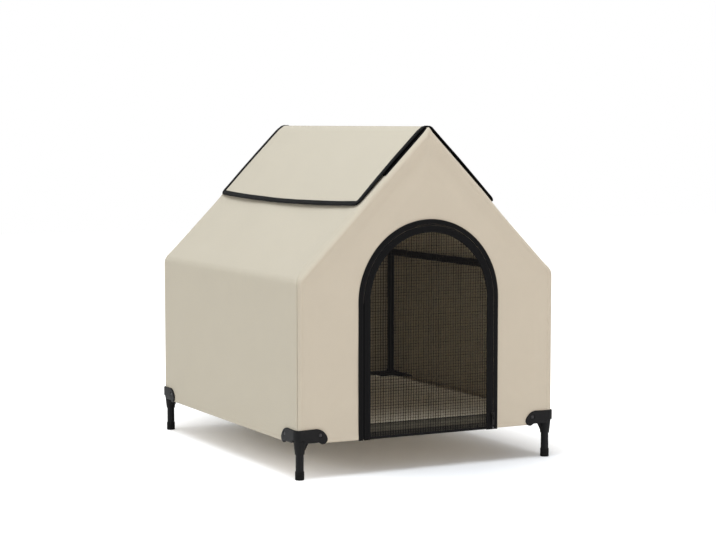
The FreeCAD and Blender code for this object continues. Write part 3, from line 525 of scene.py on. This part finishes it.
def rim(side, end):
    """Lays flat (v, length round the edge) points on a gable's rounded edge."""
    return lambda flat, lift: on_rim(side, flat[..., 0], flat[..., 1] / CORNER_R, end, 0.0, lift)


def seam_turn(v):
    """How far round a gable's edge its seam lies: on the slopes it lies nearer the roof."""
    return WALL_TURN + (VENT_TURN - WALL_TURN) * ease(v, WALL - 10, WALL + BEND + 40)


def firm(z):
    """How sharply the seam's strip stands out: fully on the walls, softly on the slopes."""
    return 1 - 0.6 * ease(z, EAVE - 12, EAVE + 40)


def notch(z, place, half):
    """Height of a hem point, raised where the cloth is cut out behind a corner bracket."""
    reach = np.abs(place) - (half - NOTCH_REACH)
    return z + (NOTCH_TOP - HEM) * ease(reach, 0, 20) * (1 - ease(z, HEM, HEM + 90))


def hem_fold(height):
    """Lift of the folded hem, by the height over the cloth's edge."""
    return HEM_STEP * (1 - ease(height, 11.2, 12.4))


def both_halves(half):
    """Lengths up the left half of the outline and down the right one, with the side of each."""
    side = np.concatenate([-np.ones(len(half)), np.ones(len(half) - 1)])
    return np.concatenate([half, half[-2::-1]]), side


def gable_lift(x, z, v, inset, seed, peak_fade):
    """How far the gable's cloth stands off its plane."""
    held = ease(inset, 2, 70)
    soft = slack(x, z, seed, broad=(0.9, 230), fine=(0.3, 80))
    waves = pucker(v, 0.25, 11, 2, 60, seed + 2)
    waves = waves * np.exp(-np.abs(inset - 6.5) / 4.0) * (inset > 5.0)
    strip = STRIP * (1 - ease(inset, 4.5, 5.4)) - GROOVE * bell(inset, TOPSTITCH_IN, 0.75)
    below_peak = ease(TOP - v, 5, peak_fade)
    tube = -GABLE_IN * ease(z, HEM + 40, HEM + 110) * plateau(inset, 9, 36, 45, 95)
    folds = 0
    for side in (-1, 1):
        away = np.hypot(side * x - FOLD_X, z - FOLD_Z)
        angle = np.arctan2(z - FOLD_Z, FOLD_X - side * x)
        for lean, size in FOLDS:
            folds = folds + size * bell(angle, lean, FOLD_SPREAD) * plateau(away, 8, 60, 70, 210)
    return held * (soft + folds) + waves + below_peak * (firm(z) * strip + tube) + hem_fold(z - HEM)


def rim_row(v, share, back):
    """Turn and lift of a row of a gable's edge.

    The edge is a raised strip with a topstitched groove, turned in at the seam.
    """
    seam = seam_turn(v)
    turn = seam * share - back
    groove = GROOVE * bell((turn - seam + TOPSTITCH_BACK) * CORNER_R, 0, 0.8)
    turned_in = TURN_IN * ease(turn, seam - 0.06, seam)
    return turn, firm(outline(v)[1]) * (STRIP - groove - turned_in)


RIM_INSETS = (FACE_INSET, 7.6, 6.5, 5.7, 5.3, 4.9, 4.5, 4.0, 3.5, 3.0, 2.5, 2.0, 1.5, 0.8)
RIM_ROWS = [(share, 0.07 * share) for share in np.linspace(0, 1, 15)]
RIM_ROWS += [(1, 0.05), (1, 0.025), (1, 0)]
ON_MIDDLE = 1e-6


def gather(x, z, tip=0.0):
    """Heights of a row of points raised by tip, with those on the middle line brought together."""
    middle = np.abs(x) < ON_MIDDLE
    return np.where(middle, z[middle].min() + np.max(tip), z + tip)


def gable_panel(name, end, inner, seed):
    """A gable of cloth from an inner line, over its rounded edge, to the seam with the walls."""
    half = spaced(0, (14, 5), (WALL, 40), (WALL + BEND, 9), (TOP - CREST, 48), (TOP, 6))
    v, side = both_halves(half)
    core = inner(v, side)
    peak_fade = PEAK_FADE_FRONT if end < 0 else PEAK_FADE_REAR
    tip = PEAK * bell(TOP - v, 0, PEAK_SPREAD)
    start = on_rim(side, v, 0.0, end, FACE_INSET)
    top = np.abs(start[:, 0]) < ON_MIDDLE
    start[:, 2] = gather(start[:, 0], start[:, 2])
    if end > 0:
        core[top] = core[len(half) - 1]
    along = np.where(top, TOP, v)
    rows, charts = [], []

    def face_row(x, z, inset):
        lift = gable_lift(x, z, along, inset, seed, peak_fade)
        rows.append(coords(x, end * (HALF_Y + lift), z))
        charts.append(coords(x, z))

    for share in np.linspace(0, 1, 32)[:-1]:
        x = core[:, 0] + (start[:, 0] - core[:, 0]) * share
        z = core[:, 1] + (start[:, 2] - core[:, 1]) * share
        inset = FACE_INSET + np.hypot(start[:, 0] - x, start[:, 2] - z)
        face_row(x, notch(z, x, HALF_X), inset)
    for inset in RIM_INSETS:
        x, _, z = on_rim(side, v, 0.0, end, inset).T
        z = gather(x, notch(z, x, HALF_X), tip * (1 - ease(inset, 2, FACE_INSET)))
        face_row(x, z, np.full_like(v, inset))
    for share, back in RIM_ROWS:
        turn, lift = rim_row(v, share, back)
        x, y, z = on_rim(side, v, turn, end, 0.0, lift).T
        z = gather(x, notch(z, x, HALF_X), tip)
        rows.append(coords(x, y, z))
        charts.append(coords(side * (np.abs(x) + CORNER_R * turn), z))
    pile = Pile()
    pile.grid(np.array(rows), np.array(charts))
    return pile.piece(name, CLOTH, MIDDLE, CLOTH_THICK, slot="cover_cloth", weld=True)


def door_line(v, side):
    """The doorway's edge that faces each point of the outline."""
    spring = WALL + BEND / 2
    leg = np.clip(v / spring, 0, 1)
    arc = np.clip((v - spring) / (TOP - spring), 0, 1) * math.pi / 2
    z = HEM + leg * (SPRING - HEM) + DOORWAY * ARCH_RISE * np.sin(arc)
    return coords(side * DOORWAY * np.cos(arc), z)


def centre_line(v, side):
    """The upright middle line of the rear gable, the same for both sides."""
    return coords(0 * side, HEM + 560 * v / TOP)


EDGE_Y = HALF_Y - CORNER_R - DRAWN - 2.0


def side_lift(v, y, seed):
    """How far a side's cloth stands off the rails: sagging roof, tense wall, hem."""
    inward = EDGE_Y - abs(y)
    on_wall = plateau(v, 10, 70, WALL - 50, WALL)
    on_roof = ease(v, WALL + BEND, WALL + BEND + 60)
    soft = slack(v, y + 0 * v, seed, broad=(0.8, 260), fine=(0.3, 90)) * (on_wall + on_roof)
    drawn_in = -WALL_IN * on_wall - ROOF_SAG * on_roof
    crease = 0.35 * bell(v, WALL + BEND / 2, 22) * ripple(y + 0 * v, 0 * v, 70, seed + 3)
    waves = pucker(v, 0.2, 12, 3, 50, seed + 4) * math.exp(-inward / 6)
    loose = soft * ease(inward, 0, 60) + drawn_in * ease(inward, 0, 40)
    return loose + hem_fold(v) + crease + waves


def side_panel(name, side, seed):
    """A wall and its roof slope in one cloth, from gable seam to gable seam, up to the vent."""
    v = spaced(0, (14, 8), (WALL, 44), (WALL + BEND, 11), (VENT_V + 6, 38))
    seam, hard = seam_turn(v), firm(outline(v)[1])
    steps = [(0, on) for on in (0, 0.025, 0.055, 0.09)]
    steps += [(share, 0.15 * (1 - share)) for share in np.linspace(0, 1, 7)]
    columns, charts = [], []
    for end in (-1, 1):
        for share, on in steps[::-end]:
            turn = seam + (math.pi / 2 - seam) * share + on
            dip = -SEAM_DIP * hard * (1 - ease(turn, seam, seam + 0.07))
            columns.append(on_rim(side, v, turn, end, 0.0, dip))
            charts.append(coords(end * (HALF_Y - CORNER_R + CORNER_R * (math.pi / 2 - turn)), v))
        if end < 0:
            for y in spaced(-EDGE_Y, (-EDGE_Y + 40, 12), (EDGE_Y - 40, 80), (EDGE_Y, 12)):
                columns.append(on_cover(side, v, y, side_lift(v, y, seed)))
                charts.append(coords(y, v))
    points = np.array(columns)
    points[..., 2] = notch(points[..., 2], points[..., 1], HALF_Y)
    pile = Pile()
    pile.grid(points, np.array(charts))
    return pile.piece(name, CLOTH, MIDDLE, CLOTH_THICK, slot="cover_cloth")


front = gable_panel("front_cloth", -1, door_line, 11)
rear = gable_panel("rear_cloth", 1, centre_line, 23)
left = side_panel("left_cloth", -1, 31)
right = side_panel("right_cloth", 1, 47)
for item, way in ((front, "front"), (rear, "rear"), (left, "left"), (right, "right")):
    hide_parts(f"{way}_panel")

# Stitched lines: along the gables' edges from above the brackets to the vent, and along the hems
SEAM_START, SEAM_STOP = 38, VENT_V - 3
HEM_FRONT = ((192, 280), (-280, -192))
HEM_REAR = ((-280, 280),)
HEM_SIDE = 345.0
seams = Pile()
for end in (-1, 1):
    for side in (-1, 1):
        v = np.linspace(SEAM_START, SEAM_STOP, 400)
        on_face = on_rim(side, v, 0.0, end, TOPSTITCH_IN)[:, [0, 2]]
        on_edge = coords(v, (seam_turn(v) - TOPSTITCH_BACK) * CORNER_R)
        stitches(seams, gable(end), on_face, 0.1,
                 wobble=lambda x, z: firm(z) * (STRIP - GROOVE))
        stitches(seams, rim(side, end), on_edge, 0.1,
                 wobble=lambda v, far: firm(outline(v)[1]) * (STRIP - GROOVE))
    for low, high in HEM_FRONT if end < 0 else HEM_REAR:
        path = straight((low, HEM + HEM_STITCH), (high, HEM + HEM_STITCH))
        stitches(seams, gable(end), path, HEM_STEP)
for side in (-1, 1):
    path = straight((-HEM_SIDE, HEM_STITCH), (HEM_SIDE, HEM_STITCH))
    stitches(seams, wall(side), path, HEM_STEP)
seam_piece = seams.piece("cover_stitching", THREAD_PALE, MIDDLE, slot="cover_cloth")


# Ridge vent

VENT_END, EDGING_END, EDGING_WIDTH = 386.0, 384.0, 13
FACING_UP, FACING_START = 1.9, VENT_TURN - 0.02
VENT_STEP, VENT_THREAD = 2.2, 0.75
vent_v, vent_side = both_halves(spaced(VENT_V, (TOP - CREST, 22), (TOP, 8)))


def vent_facing(end):
    """Tape round one end of the vent, from the gable's face over its edge onto the roof."""
    rows = []
    bends = FACING_START + np.array([0, 0.02, 0.05])
    for turn in np.concatenate([bends, np.linspace(FACING_START + 0.09, math.pi / 2, 7)]):
        lift = FACING_UP - 1.6 * (1 - ease(turn, FACING_START, FACING_START + 0.06))
        rows.append(on_rim(vent_side, vent_v, turn, end, 0.0, lift))
    for y in (397, 392, 386, 384):
        rows.append(on_cover(vent_side, vent_v, end * y, FACING_UP))
    rows.append(on_cover(vent_side, vent_v, end * 383.6, 0.4))
    rows = np.array(rows)
    pile = Pile()
    pile.grid(rows, coords(measure(rows[len(rows) // 2]), measure(rows[:, 10])[:, None]))
    name = f"vent_facing_{'front' if end < 0 else 'rear'}"
    return pile.piece(name, TAPE, MIDDLE, 1.0, slot="trim_binding")


def ribbon(pile, points, across, width):
    """One flat thread of a screen."""
    sides = np.stack([points - across * width / 2, points + across * width / 2], 1)
    pile.grid(sides, coords(measure(points)[:, None], np.array([0.0, width])))


def vent_screen():
    """Screen of flat threads over the ridge and along it."""
    pile = Pile()
    for y in np.arange(-VENT_END, VENT_END + 0.1, VENT_STEP):
        points = on_cover(vent_side, vent_v, y, -0.55)
        ribbon(pile, points, np.array([0, 1.0, 0]), VENT_THREAD)
    for hand in (-1, 1):
        for s in np.arange(2.0, VENT_X / C45, VENT_STEP):
            v = slope_v(np.array(s))
            _, _, nx, nz = outline(v)
            points = on_cover(hand, v, np.array([-VENT_END, VENT_END]), -0.75)
            ribbon(pile, points, np.array([-hand * float(nz), 0, float(nx)]), VENT_THREAD)
    return pile.piece("vent_screen", SCREEN, MIDDLE, slot="mesh")


vent = vent_screen()
vent_trim = [vent_facing(-1), vent_facing(1)]
edging, edging_thread = Pile(), Pile()
low = VENT_X / C45 + 6
for hand in (-1, 1):
    path = resample(straight((low, hand * EDGING_END), (low, -hand * EDGING_END)), 24)
    section = [(hand * a, b) for a, b in tape_section(EDGING_WIDTH, 0.2, 1.5)]
    sweep(edging, roof(hand), path, section)
    for inset in (1.5, EDGING_WIDTH - 2.5):
        path = straight((low - inset, 1 - EDGING_END), (low - inset, EDGING_END - 1))
        stitches(edging_thread, roof(hand), path, 1.6)
vent_trim.append(edging.piece("vent_edging", TAPE, slot="trim_binding"))
vent_trim.append(edging_thread.piece("vent_stitching", THREAD_DARK, MIDDLE, slot="trim_binding"))
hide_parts("ridge_vent")


# Roof flap

FLAP_LIFT, FLAP_IN, RIDGE_DRAW = 7.5, 3.0, 2.5
HINGE_START, HINGE_END, HINGE_LIFT = 15.0, 29.0, 7.0
PATCH_S, PATCH_Y, PATCH_HALF_S, PATCH_HALF_Y = 239.0, 350.0, 9.0, 20.0


def flap_wave(hand):
    """Loose lie of one flap half.

    Both are drawn down over the ridge. The left hem lies flat, and the right half stands off.
    """
    stand, hem, crown = (0.0, -2.0, 24) if hand < 0 else (2.2, 1.5, 8)

    def lie(s, y):
        soft = ease(s, 30, 120) * slack(s, y, 5, broad=(0.45, 240), fine=(0.2, 85))
        lean = stand + (hem - stand) * ease(s, 90, 250)
        return soft + lean - (RIDGE_DRAW + stand) * (1 - ease(s, 1, crown))

    return lie


def flap_edge():
    """Edge of one flap half as flat (s, y) points, from the ridge's front round to its back."""
    run, far = FLAP_S - FLAP_CORNER, FLAP_Y - FLAP_CORNER
    angle = np.linspace(0, math.pi / 2, 13)
    y = np.linspace(-far, far, 121)
    down = coords(np.linspace(0, run, 60), -FLAP_Y)
    corner = coords(run + FLAP_CORNER * np.sin(angle), -far - FLAP_CORNER * np.cos(angle))
    hem = coords(FLAP_S + FLAP_BOW * (1 - (y / far) ** 2), y)
    half = np.concatenate([down[:-1], corner[:-1]])
    return np.concatenate([half, hem, (half * np.array([1, -1]))[::-1]])


def flap_cloth(name, hand):
    """Cloth of one flap half, which ends inside its binding."""
    edge = FLAP_S - FLAP_IN
    q = spaced(0, (36, 19), (FLAP_S - 22, 30), (edge, 9))
    share = np.linspace(-1, 1, 97)
    over = np.clip(q - (edge - FLAP_CORNER), 0, FLAP_CORNER)
    rounded = FLAP_CORNER - np.sqrt(np.maximum(FLAP_CORNER**2 - over**2, 0))
    y = (FLAP_Y - FLAP_IN - rounded)[:, None] * share
    s = q[:, None] + FLAP_BOW * (1 - share**2) * ease(q, 40, FLAP_S)[:, None]
    points = roof(hand)(coords(s, y), FLAP_LIFT + flap_wave(hand)(s, y))
    pile = Pile()
    pile.grid(points, coords(y, s))
    return pile.piece(name, CLOTH, MIDDLE, CLOTH_THICK, body=None, slot="cover_cloth")


def flap_trim(name, hand):
    """Binding folded over the flap's edge, and its stitching."""
    binding, thread = Pile(), Pile()
    path = resample(flap_edge(), 5.0)
    section = tape_section(14.5, 5.2, 9.0, edge=1.5, crown=0.25)
    sweep(binding, roof(hand), path, section, flap_wave(hand))
    stitch_line = path + left_of(path) * 12.5
    stitches(thread, roof(hand), stitch_line, 9.1, wobble=flap_wave(hand))
    return (binding.piece(f"{name}_tape", TAPE, body=None, slot="trim_binding"),
            thread.piece(f"{name}_stitching", THREAD_DARK, MIDDLE, body=None, slot="trim_binding"))


def bend_with(body, hand, *items):
    """Bakes the placement of the pieces of a flap half into their meshes."""
    ends = roof(hand)(straight((HINGE_START, 0), (HINGE_END, 0)), HINGE_LIFT) / 1000
    for item in items:
        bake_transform(item)


def patch(pile, thread, lay, y, low, high):
    """A sewn rectangle of hook or loop tape with softened edges, between two lifts."""
    drop, sewn_in = 1.2, 2.0
    axes, rises = [], []
    for half, count in ((PATCH_HALF_S, 7), (PATCH_HALF_Y, 13)):
        flat_part = np.linspace(-half + drop, half - drop, count)
        axes.append(np.concatenate([[-half, -half], flat_part, [half, half]]))
        rises.append(np.concatenate([[0.0, 0.7], np.ones(count), [0.7, 0.0]]))
    aa, bb = np.meshgrid(*axes, indexing="ij")
    up = np.minimum(rises[0][:, None], rises[1])
    pile.grid(lay(coords(PATCH_S + aa, y + bb), low + (high - low) * up), coords(aa, bb))
    in_s, in_y = PATCH_HALF_S - sewn_in, PATCH_HALF_Y - sewn_in
    ring = [(PATCH_S + a * in_s, y + b * in_y)
            for a, b in ((-1, -1), (1, -1), (1, 1), (-1, 1), (-1, -1))]
    for ends in zip(ring, ring[1:]):
        stitches(thread, lay, straight(*ends), high, height=0.3 if high > low else -0.3)


loops, loops_thread = Pile(), Pile()
for hand, side in ((-1, "left"), (1, "right")):
    name = f"{side}_flap"
    cloth = flap_cloth(f"{name}_cloth", hand)
    tape, thread = flap_trim(name, hand)
    hooks, hooks_thread = Pile(), Pile()
    for y in (-PATCH_Y, PATCH_Y):
        patch(loops, loops_thread, roof(hand), y, -2.0, 1.9)
        patch(hooks, hooks_thread, roof(hand), y, 4.6 if hand < 0 else 8.0, 2.6)
    hook_piece = hooks.piece(f"{name}_hooks", HOOKS, MIDDLE, body=name, slot="hook_and_loop")
    hooks_thread.piece(f"{name}_hook_stitching", THREAD_DARK, MIDDLE, body=name,
                       slot="hook_and_loop")
    bend_with(name, hand, cloth, tape, thread)
    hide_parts(name)
    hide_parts(f"{name}_binding")
    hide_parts(f"{side}_hook_patches")
    if hand < 0:
        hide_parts("flap_ridge_strip")
        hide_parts("ridge_strip_binding")
loop_piece = loops.piece("roof_loops", HOOKS, MIDDLE, slot="hook_and_loop")
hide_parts("roof_loop_patches")
loops_thread.piece("roof_loop_stitching", THREAD_DARK, MIDDLE, slot="hook_and_loop")


# Door

FOOT = HEM - 2.0
SURROUND_R, SURROUND_STITCHES = 190.5, (188.3, 181.0)
BINDING_R, BINDING_STITCHES = 175.7, (173.3, 161.6)
ZIP_R, TEETH_R, TOOTH_STEP = 178.8, 177.4, 0.8
SCREEN_R, SCREEN_X, SCREEN_STEP = 166.5, 165.8, 2.27


def arch(radius, left_leg=True):
    """Round-headed line up the left side, unless left out, over and down the right."""
    angle = np.linspace(math.pi, 0, 121)
    bow = coords(radius * np.cos(angle), SPRING + radius * ARCH_RISE * np.sin(angle))
    up = coords(-radius, np.linspace(FOOT, SPRING, 60))
    down = coords(radius, np.linspace(SPRING, FOOT, 60))
    return np.concatenate([up[:-1] if left_leg else up[:0], bow, down[1:]])


def inward(section):
    """A section laid to the right of the way, which is into the arch."""
    return [(-a, b) for a, b in section]


front_lay = gable(-1)
surround, surround_thread = Pile(), Pile()
section = tape_section(11.5, 0.1, 2.1, crown=0.3)
sweep(surround, front_lay, resample(arch(SURROUND_R), 6), inward(section))
for radius in SURROUND_STITCHES:
    stitches(surround_thread, front_lay, arch(radius), 2.2)
surround_piece = surround.piece("door_surround_tape", TAPE, slot="trim_binding")
surround_stitch = surround_thread.piece("door_surround_stitching", THREAD_DARK, DOOR_BACK,
                                        slot="trim_binding")
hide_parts("door_surround")

binding, binding_thread = Pile(), Pile()
section = tape_section(16.4, -1.1, 2.1, edge=1.2, crown=0.35)
sweep(binding, front_lay, resample(arch(BINDING_R), 6), inward(section))
section = tape_section(6.0, -0.9, 1.5, edge=0.8, crown=0.2)
path = straight((-166.0, FOOT + 1), (166.0, FOOT + 1))
sweep(binding, front_lay, resample(path, 8), section)
for radius in BINDING_STITCHES:
    stitches(binding_thread, front_lay, arch(radius), 2.2)
stitches(binding_thread, front_lay, straight((-160.0, FOOT + 5.2), (160.0, FOOT + 5.2)), 1.6)
binding_piece = binding.piece("door_binding_tape", TAPE, body="door", slot="trim_binding")
binding_stitch = binding_thread.piece("door_binding_stitching", THREAD_DARK, DOOR_BACK,
                                      body="door", slot="trim_binding")
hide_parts("door_binding")


def screen_lift(x, z):
    """Slack lie of the door's screen, loosest at the foot beside the zip."""
    soft = ease(160 - np.abs(x), 0, 50) * slack(x, z, 71, broad=(0.9, 200), fine=(0.3, 70))
    loose = bell(x, 135, 42) * bell(z, 100, 26) * (2.0 + 1.9 * np.sin((x + 1.4 * z) / 7.0))
    return 0.5 + soft + loose


def door_screen():
    """Screen of single threads, every third one wider, with its hem folded double."""
    pile = Pile()
    source = np.random.default_rng(7)
    sideways, upward = np.array([1.0, 0, 0]), np.array([0, 0, 1.0])

    def thread(x, z, lift, across, width):
        flat = coords(x, z)
        lift = lift + screen_lift(flat[:, 0], flat[:, 1])
        ribbon(pile, front_lay(flat, lift), across, width)

    for k, x in enumerate(np.arange(-SCREEN_X, 166, SCREEN_STEP)):
        top = SPRING + ARCH_RISE * math.sqrt(SCREEN_R**2 - x * x)
        width = (0.35 if k % 3 else 1.65) * source.uniform(0.75, 1.25)
        thread(x, np.linspace(HEM + 1, top, 26), 0.1, sideways, width)
    for k, z in enumerate(np.arange(HEM + 1.5, SPRING + SCREEN_R - 1, SCREEN_STEP)):
        half = math.sqrt(max(SCREEN_R**2 - (max(z - SPRING, 0) / ARCH_RISE) ** 2, 0))
        width = (0.2 if k % 3 else 1.0) * source.uniform(0.75, 1.25)
        thread(np.linspace(-half, half, 22), z, -0.1, upward, width)
    for x in np.arange(-SCREEN_X + SCREEN_STEP / 2, 166, SCREEN_STEP):
        thread(x, np.linspace(HEM + 1, HEM + 15, 4), 0.3, sideways, 0.9)
    return pile.piece("door_screen", SCREEN, DOOR_BACK, body="door", slot="mesh")


screen = door_screen()
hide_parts("door_mesh")

TOOTH = np.array([
    (-0.45, -0.75, 0.3), (0.45, -0.75, 0.3), (0.45, 0.75, 0.3), (-0.45, 0.75, 0.3),
    (-0.3, -0.55, 1.7), (0.3, -0.55, 1.7), (0.3, 0.55, 1.5), (-0.3, 0.55, 1.5)])
TOOTH_FACES = [[0, 1, 5, 4], [1, 2, 6, 5], [2, 3, 7, 6], [3, 0, 4, 7], [4, 5, 6, 7]]
TOOTH_ASIDE = 0.42
coil = Pile()
section = tape_section(2.8, -0.6, 0.5, edge=0.3, crown=0.05)
sweep(coil, front_lay, resample(arch(ZIP_R, left_leg=False), 6), inward(section))
zip_line = resample(arch(TEETH_R, left_leg=False), TOOTH_STEP)
aside = left_of(zip_line)
for k, (at, way, off) in enumerate(zip(zip_line, right_turn(aside), aside)):
    hand = 1 if k % 2 else -1
    flat = at + way * TOOTH[:, :1] + off * (hand * (TOOTH[:, 1:2] - TOOTH_ASIDE))
    coil.add(front_lay(flat, TOOTH[:, 2]), TOOTH_FACES, TOOTH[:, :2] + k)
coil_piece = coil.piece("zip_teeth", COIL, DOOR_BACK, smooth=False, slot="zip_coil")
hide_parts("zip_coil")

hinge = Pile()
section = tape_section(2.9, -0.3, 0.95, edge=0.35, crown=0.1)
sweep(hinge, front_lay, resample(straight((-ZIP_R, HEM), (-ZIP_R, SPRING)), 12), inward(section))
hinge_piece = hinge.piece("door_hinge_seam", TAPE, slot="trim_binding")
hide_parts("door_hinge_tape")


# Bed

BED_Z, BED_SAG, BED_RIPPLE = 113.3, 3.6, 0.35
BED_CUT, RAIL_EDGE = 55, 15
BED_SEAMS, BED_SEAM_END = (19, 25), 61
SLEEVE_R, SHADE_STRIP_HANG = 11.2, 18.5


def bed_height(x, y, loose=1.0):
    """Height of the slung bed, which sags and ripples where it is loose."""
    sag = BED_SAG * (1 - (x / POST_X) ** 2) * (1 - (y / POST_Y) ** 2)
    return BED_Z - sag + BED_RIPPLE * loose * ripple(x, y, 190, 91)


def on_bed(flat, lift):
    """Lays flat (x, y) points on the bed."""
    x, y = flat[..., 0], flat[..., 1]
    return coords(x, y, bed_height(x, y) + lift)


def bed_cloth():
    """Sheet from rail to rail, raised onto them and cut out at the corners."""
    x, y = (spaced(-post, (RAIL_EDGE - post, 6), (post - RAIL_EDGE, count), (post, 6))
            for post, count in ((POST_X, 56), (POST_Y, 66)))
    xx, yy = np.meshgrid(x, y, indexing="ij")
    on_rail = np.maximum(ease(np.abs(xx), POST_X - 13, POST_X - 1),
                         ease(np.abs(yy), POST_Y - 13, POST_Y - 1))
    pile = Pile()
    index = pile.grid(coords(xx, yy, bed_height(xx, yy, 1 - on_rail) + on_rail), coords(xx, yy))
    cut = (np.abs(xx) > POST_X - BED_CUT) & (np.abs(yy) > POST_Y - BED_CUT)
    gone = set(index[cut].tolist())
    pile.faces = [face for face in pile.faces if not gone & set(face)]
    return pile.piece("bed_sling", BED, slot="bed_textile")


def bed_sleeves(name, material, half, aside, order, shade_strip_hang=0.0):
    """Sleeves round two facing rails, lapped onto the bed's edge.

    Where the hang is given, a dark strip hangs that far under the rail's middle, a sheet that
    stands in for the shade under the bed.
    """
    pile = Pile()
    turn = np.linspace(math.radians(-20), math.radians(318), 24)
    across = np.concatenate([[-22.0, -12.0], SLEEVE_R * np.sin(turn)])
    height = np.concatenate([[10.9, 11.0], SLEEVE_R * np.cos(turn)])
    far = measure(coords(across, height))
    along = np.linspace(-half, half, 30)
    strips = [(across, height, far)]
    if shade_strip_hang:
        drop = np.linspace(-10.5, -shade_strip_hang, 5)
        strips.append((0.04 * drop, drop, far[-1] - drop))
    for hand in (-1, 1):
        for across, height, far in strips:
            level = [hand * (aside + across)[:, None], along]
            points = coords(level[order[0]], level[order[1]], (RAIL_Z + height)[:, None])
            pile.grid(points, coords(hand * far[:, None], along))
    return pile.piece(name, material, thick=0.8, slot="bed_textile")


bed = bed_cloth()
# The end sleeves take the dark painted-shade colour, and their hanging strip is a dark sheet put
# where the shade under the bed falls
sleeves = [bed_sleeves("bed_side_sleeves", BED, POST_Y - BED_CUT, POST_X, (0, 1)),
           bed_sleeves("bed_end_sleeves", PAINTED_SHADE_SLEEVE, POST_X - BED_CUT, POST_Y, (1, 0), SHADE_STRIP_HANG)]
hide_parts("bed_sheet")
bed_thread = Pile()
for post, length, order in ((POST_X, POST_Y, 1), (POST_Y, POST_X, -1)):
    half = length - BED_SEAM_END
    for inset in BED_SEAMS:
        for reach in (inset - post, post - inset):
            path = straight((reach, -half)[::order], (reach, half)[::order])
            stitches(bed_thread, on_bed, path, 0.1)
bed_stitch = bed_thread.piece("bed_stitching", THREAD_DARK, (0, 0, 0), slot="bed_textile")


# Webs under the corner brackets' wings

WEB_END, WEB_START, WEB_FOOT, WEB_DROP = 54, 14, 89.2, 3.0
webs = Pile()
section = tape_section(10.6, -5.0, 3.9, edge=1.6, crown=0.1)
reach = np.linspace(WEB_END, WEB_START, 11)
foot = WEB_FOOT - WEB_DROP * ease(reach, 12, 28)
for end in (-1, 1):
    for side in (-1, 1):
        sweep(webs, gable(end), coords(side * (HALF_X - reach), foot)[::side], section)
        sweep(webs, wall(side), coords(end * (HALF_Y - reach), foot - HEM)[::end], section)
webs.piece("bracket_webs", PLASTIC, slot="moulded_plastic")


# Stage, lights and camera, in metres apart from the floor's size

FLOOR_HALF = 9000
# Reach and strength of the floor's painted glow, which sets where the house's shadow fades out
GLOW_FROM, GLOW_FULL, GLOW = 0.4, 1.15, 0.5
SKY_LIGHT, SKY_SEEN = 0.70, 1.0


def backdrop_rays(s):
    """1 for rays that should see the white studio: camera, mirror and see-through ones."""
    rays = s.node("LightPath").outputs
    first = s.math("MAXIMUM", rays["Is Camera Ray"], rays["Is Glossy Ray"])
    return s.math("MAXIMUM", first, rays["Is Transmission Ray"])


def studio_floor():
    """White floor that fades into the backdrop away from the house, its shadow's reach set by
    painted light.
    """
    s = Shader(bpy.data.materials.new("studio_floor"))
    shade = s.mix(s.noise(scale=3.0, detail=3.0), (0.9, 0.9, 0.895, 1), (0.92, 0.92, 0.916, 1))
    s.finish(Base_Color=shade, Roughness=0.9, Specular_IOR_Level=0.1)
    # Painted light: a warm glow seen by camera rays, none near the house and rising away from it,
    # stretched sideways and centred right of the middle so the shadow reaches less far on the left
    painted_shadow_spot = s.node("VectorMath", s.place(), (1.9, 0.9, 1.0), (-0.19, 0, 0), operation="MULTIPLY_ADD")
    away = s.node("VectorMath", painted_shadow_spot.outputs[0], operation="LENGTH").outputs["Value"]
    far = s.node("MapRange", away, GLOW_FROM, GLOW_FULL, 0.0, GLOW, interpolation_type="SMOOTHSTEP")
    level = s.math("MULTIPLY", backdrop_rays(s), far.outputs[0])
    painted_glow = s.node("Emission", (1, 0.96, 0.9, 1), level)
    s.show(s.node("AddShader", s.surface.outputs[0], painted_glow.outputs[0]))
    span = np.linspace(-FLOOR_HALF, FLOOR_HALF, 13)
    x, y = np.meshgrid(span, span, indexing="ij")
    pile = Pile()
    pile.grid(coords(x, y, 0 * x), coords(x, y))
    return pile.piece("studio_floor", s.owner, (0, 0, -1000), body=None)


def lamp(name, place, target, size, watts, colour=(1, 1, 1)):
    """A round softbox that faces its target."""
    data = bpy.data.lights.new(name, "AREA")
    data.shape = "DISK"
    data.size = size
    data.energy = watts
    data.color = colour
    item = bpy.data.objects.new(name, data)
    item.location = place
    x, y, z = np.array(target, float) - np.array(place, float)
    item.rotation_mode = "XYZ"
    item.rotation_euler = (math.atan2(math.hypot(x, y), -z), 0, math.atan2(y, x) - math.pi / 2)
    scene.collection.objects.link(item)


studio_floor()
sky = Shader(bpy.data.worlds.new("studio"), "Background")
strength = sky.node("MapRange", backdrop_rays(sky), 0.0, 1.0, SKY_LIGHT, SKY_SEEN).outputs[0]
scene.world = sky.finish(Color=(1, 1, 1, 1), Strength=strength)

lamp("top_softbox", place=(-0.6, -0.8, 4.2), target=(0, 0, 0.4), size=3.2, watts=141,
     colour=(0.84, 0.91, 1.0))
lamp("left_softbox", place=(-4.0, 0.5, 0.6), target=(0, 0, 0.2), size=1.6, watts=22.5)
lamp("front_softbox", place=(0.9, -4.2, 0.55), target=(0, 0, 0.25), size=1.8, watts=46.5,
     colour=(1.0, 0.80, 0.76))

# The camera as fitted to the edges of the house in the photograph, with its angles in degrees
CAMERA_PLACE = (-2.17770, -4.23861, 0.82815)
CAMERA_DOWN, CAMERA_TURN = 4.5671, -27.4445
camera_data = bpy.data.cameras.new("camera")
camera_data.sensor_width = 36.0
camera_data.lens = 93.425
camera = bpy.data.objects.new("camera", camera_data)
camera.location = CAMERA_PLACE
camera.rotation_euler = (math.radians(90 - CAMERA_DOWN), 0, math.radians(CAMERA_TURN))
scene.collection.objects.link(camera)
scene.camera = camera
scene.view_settings.view_transform = "Standard"
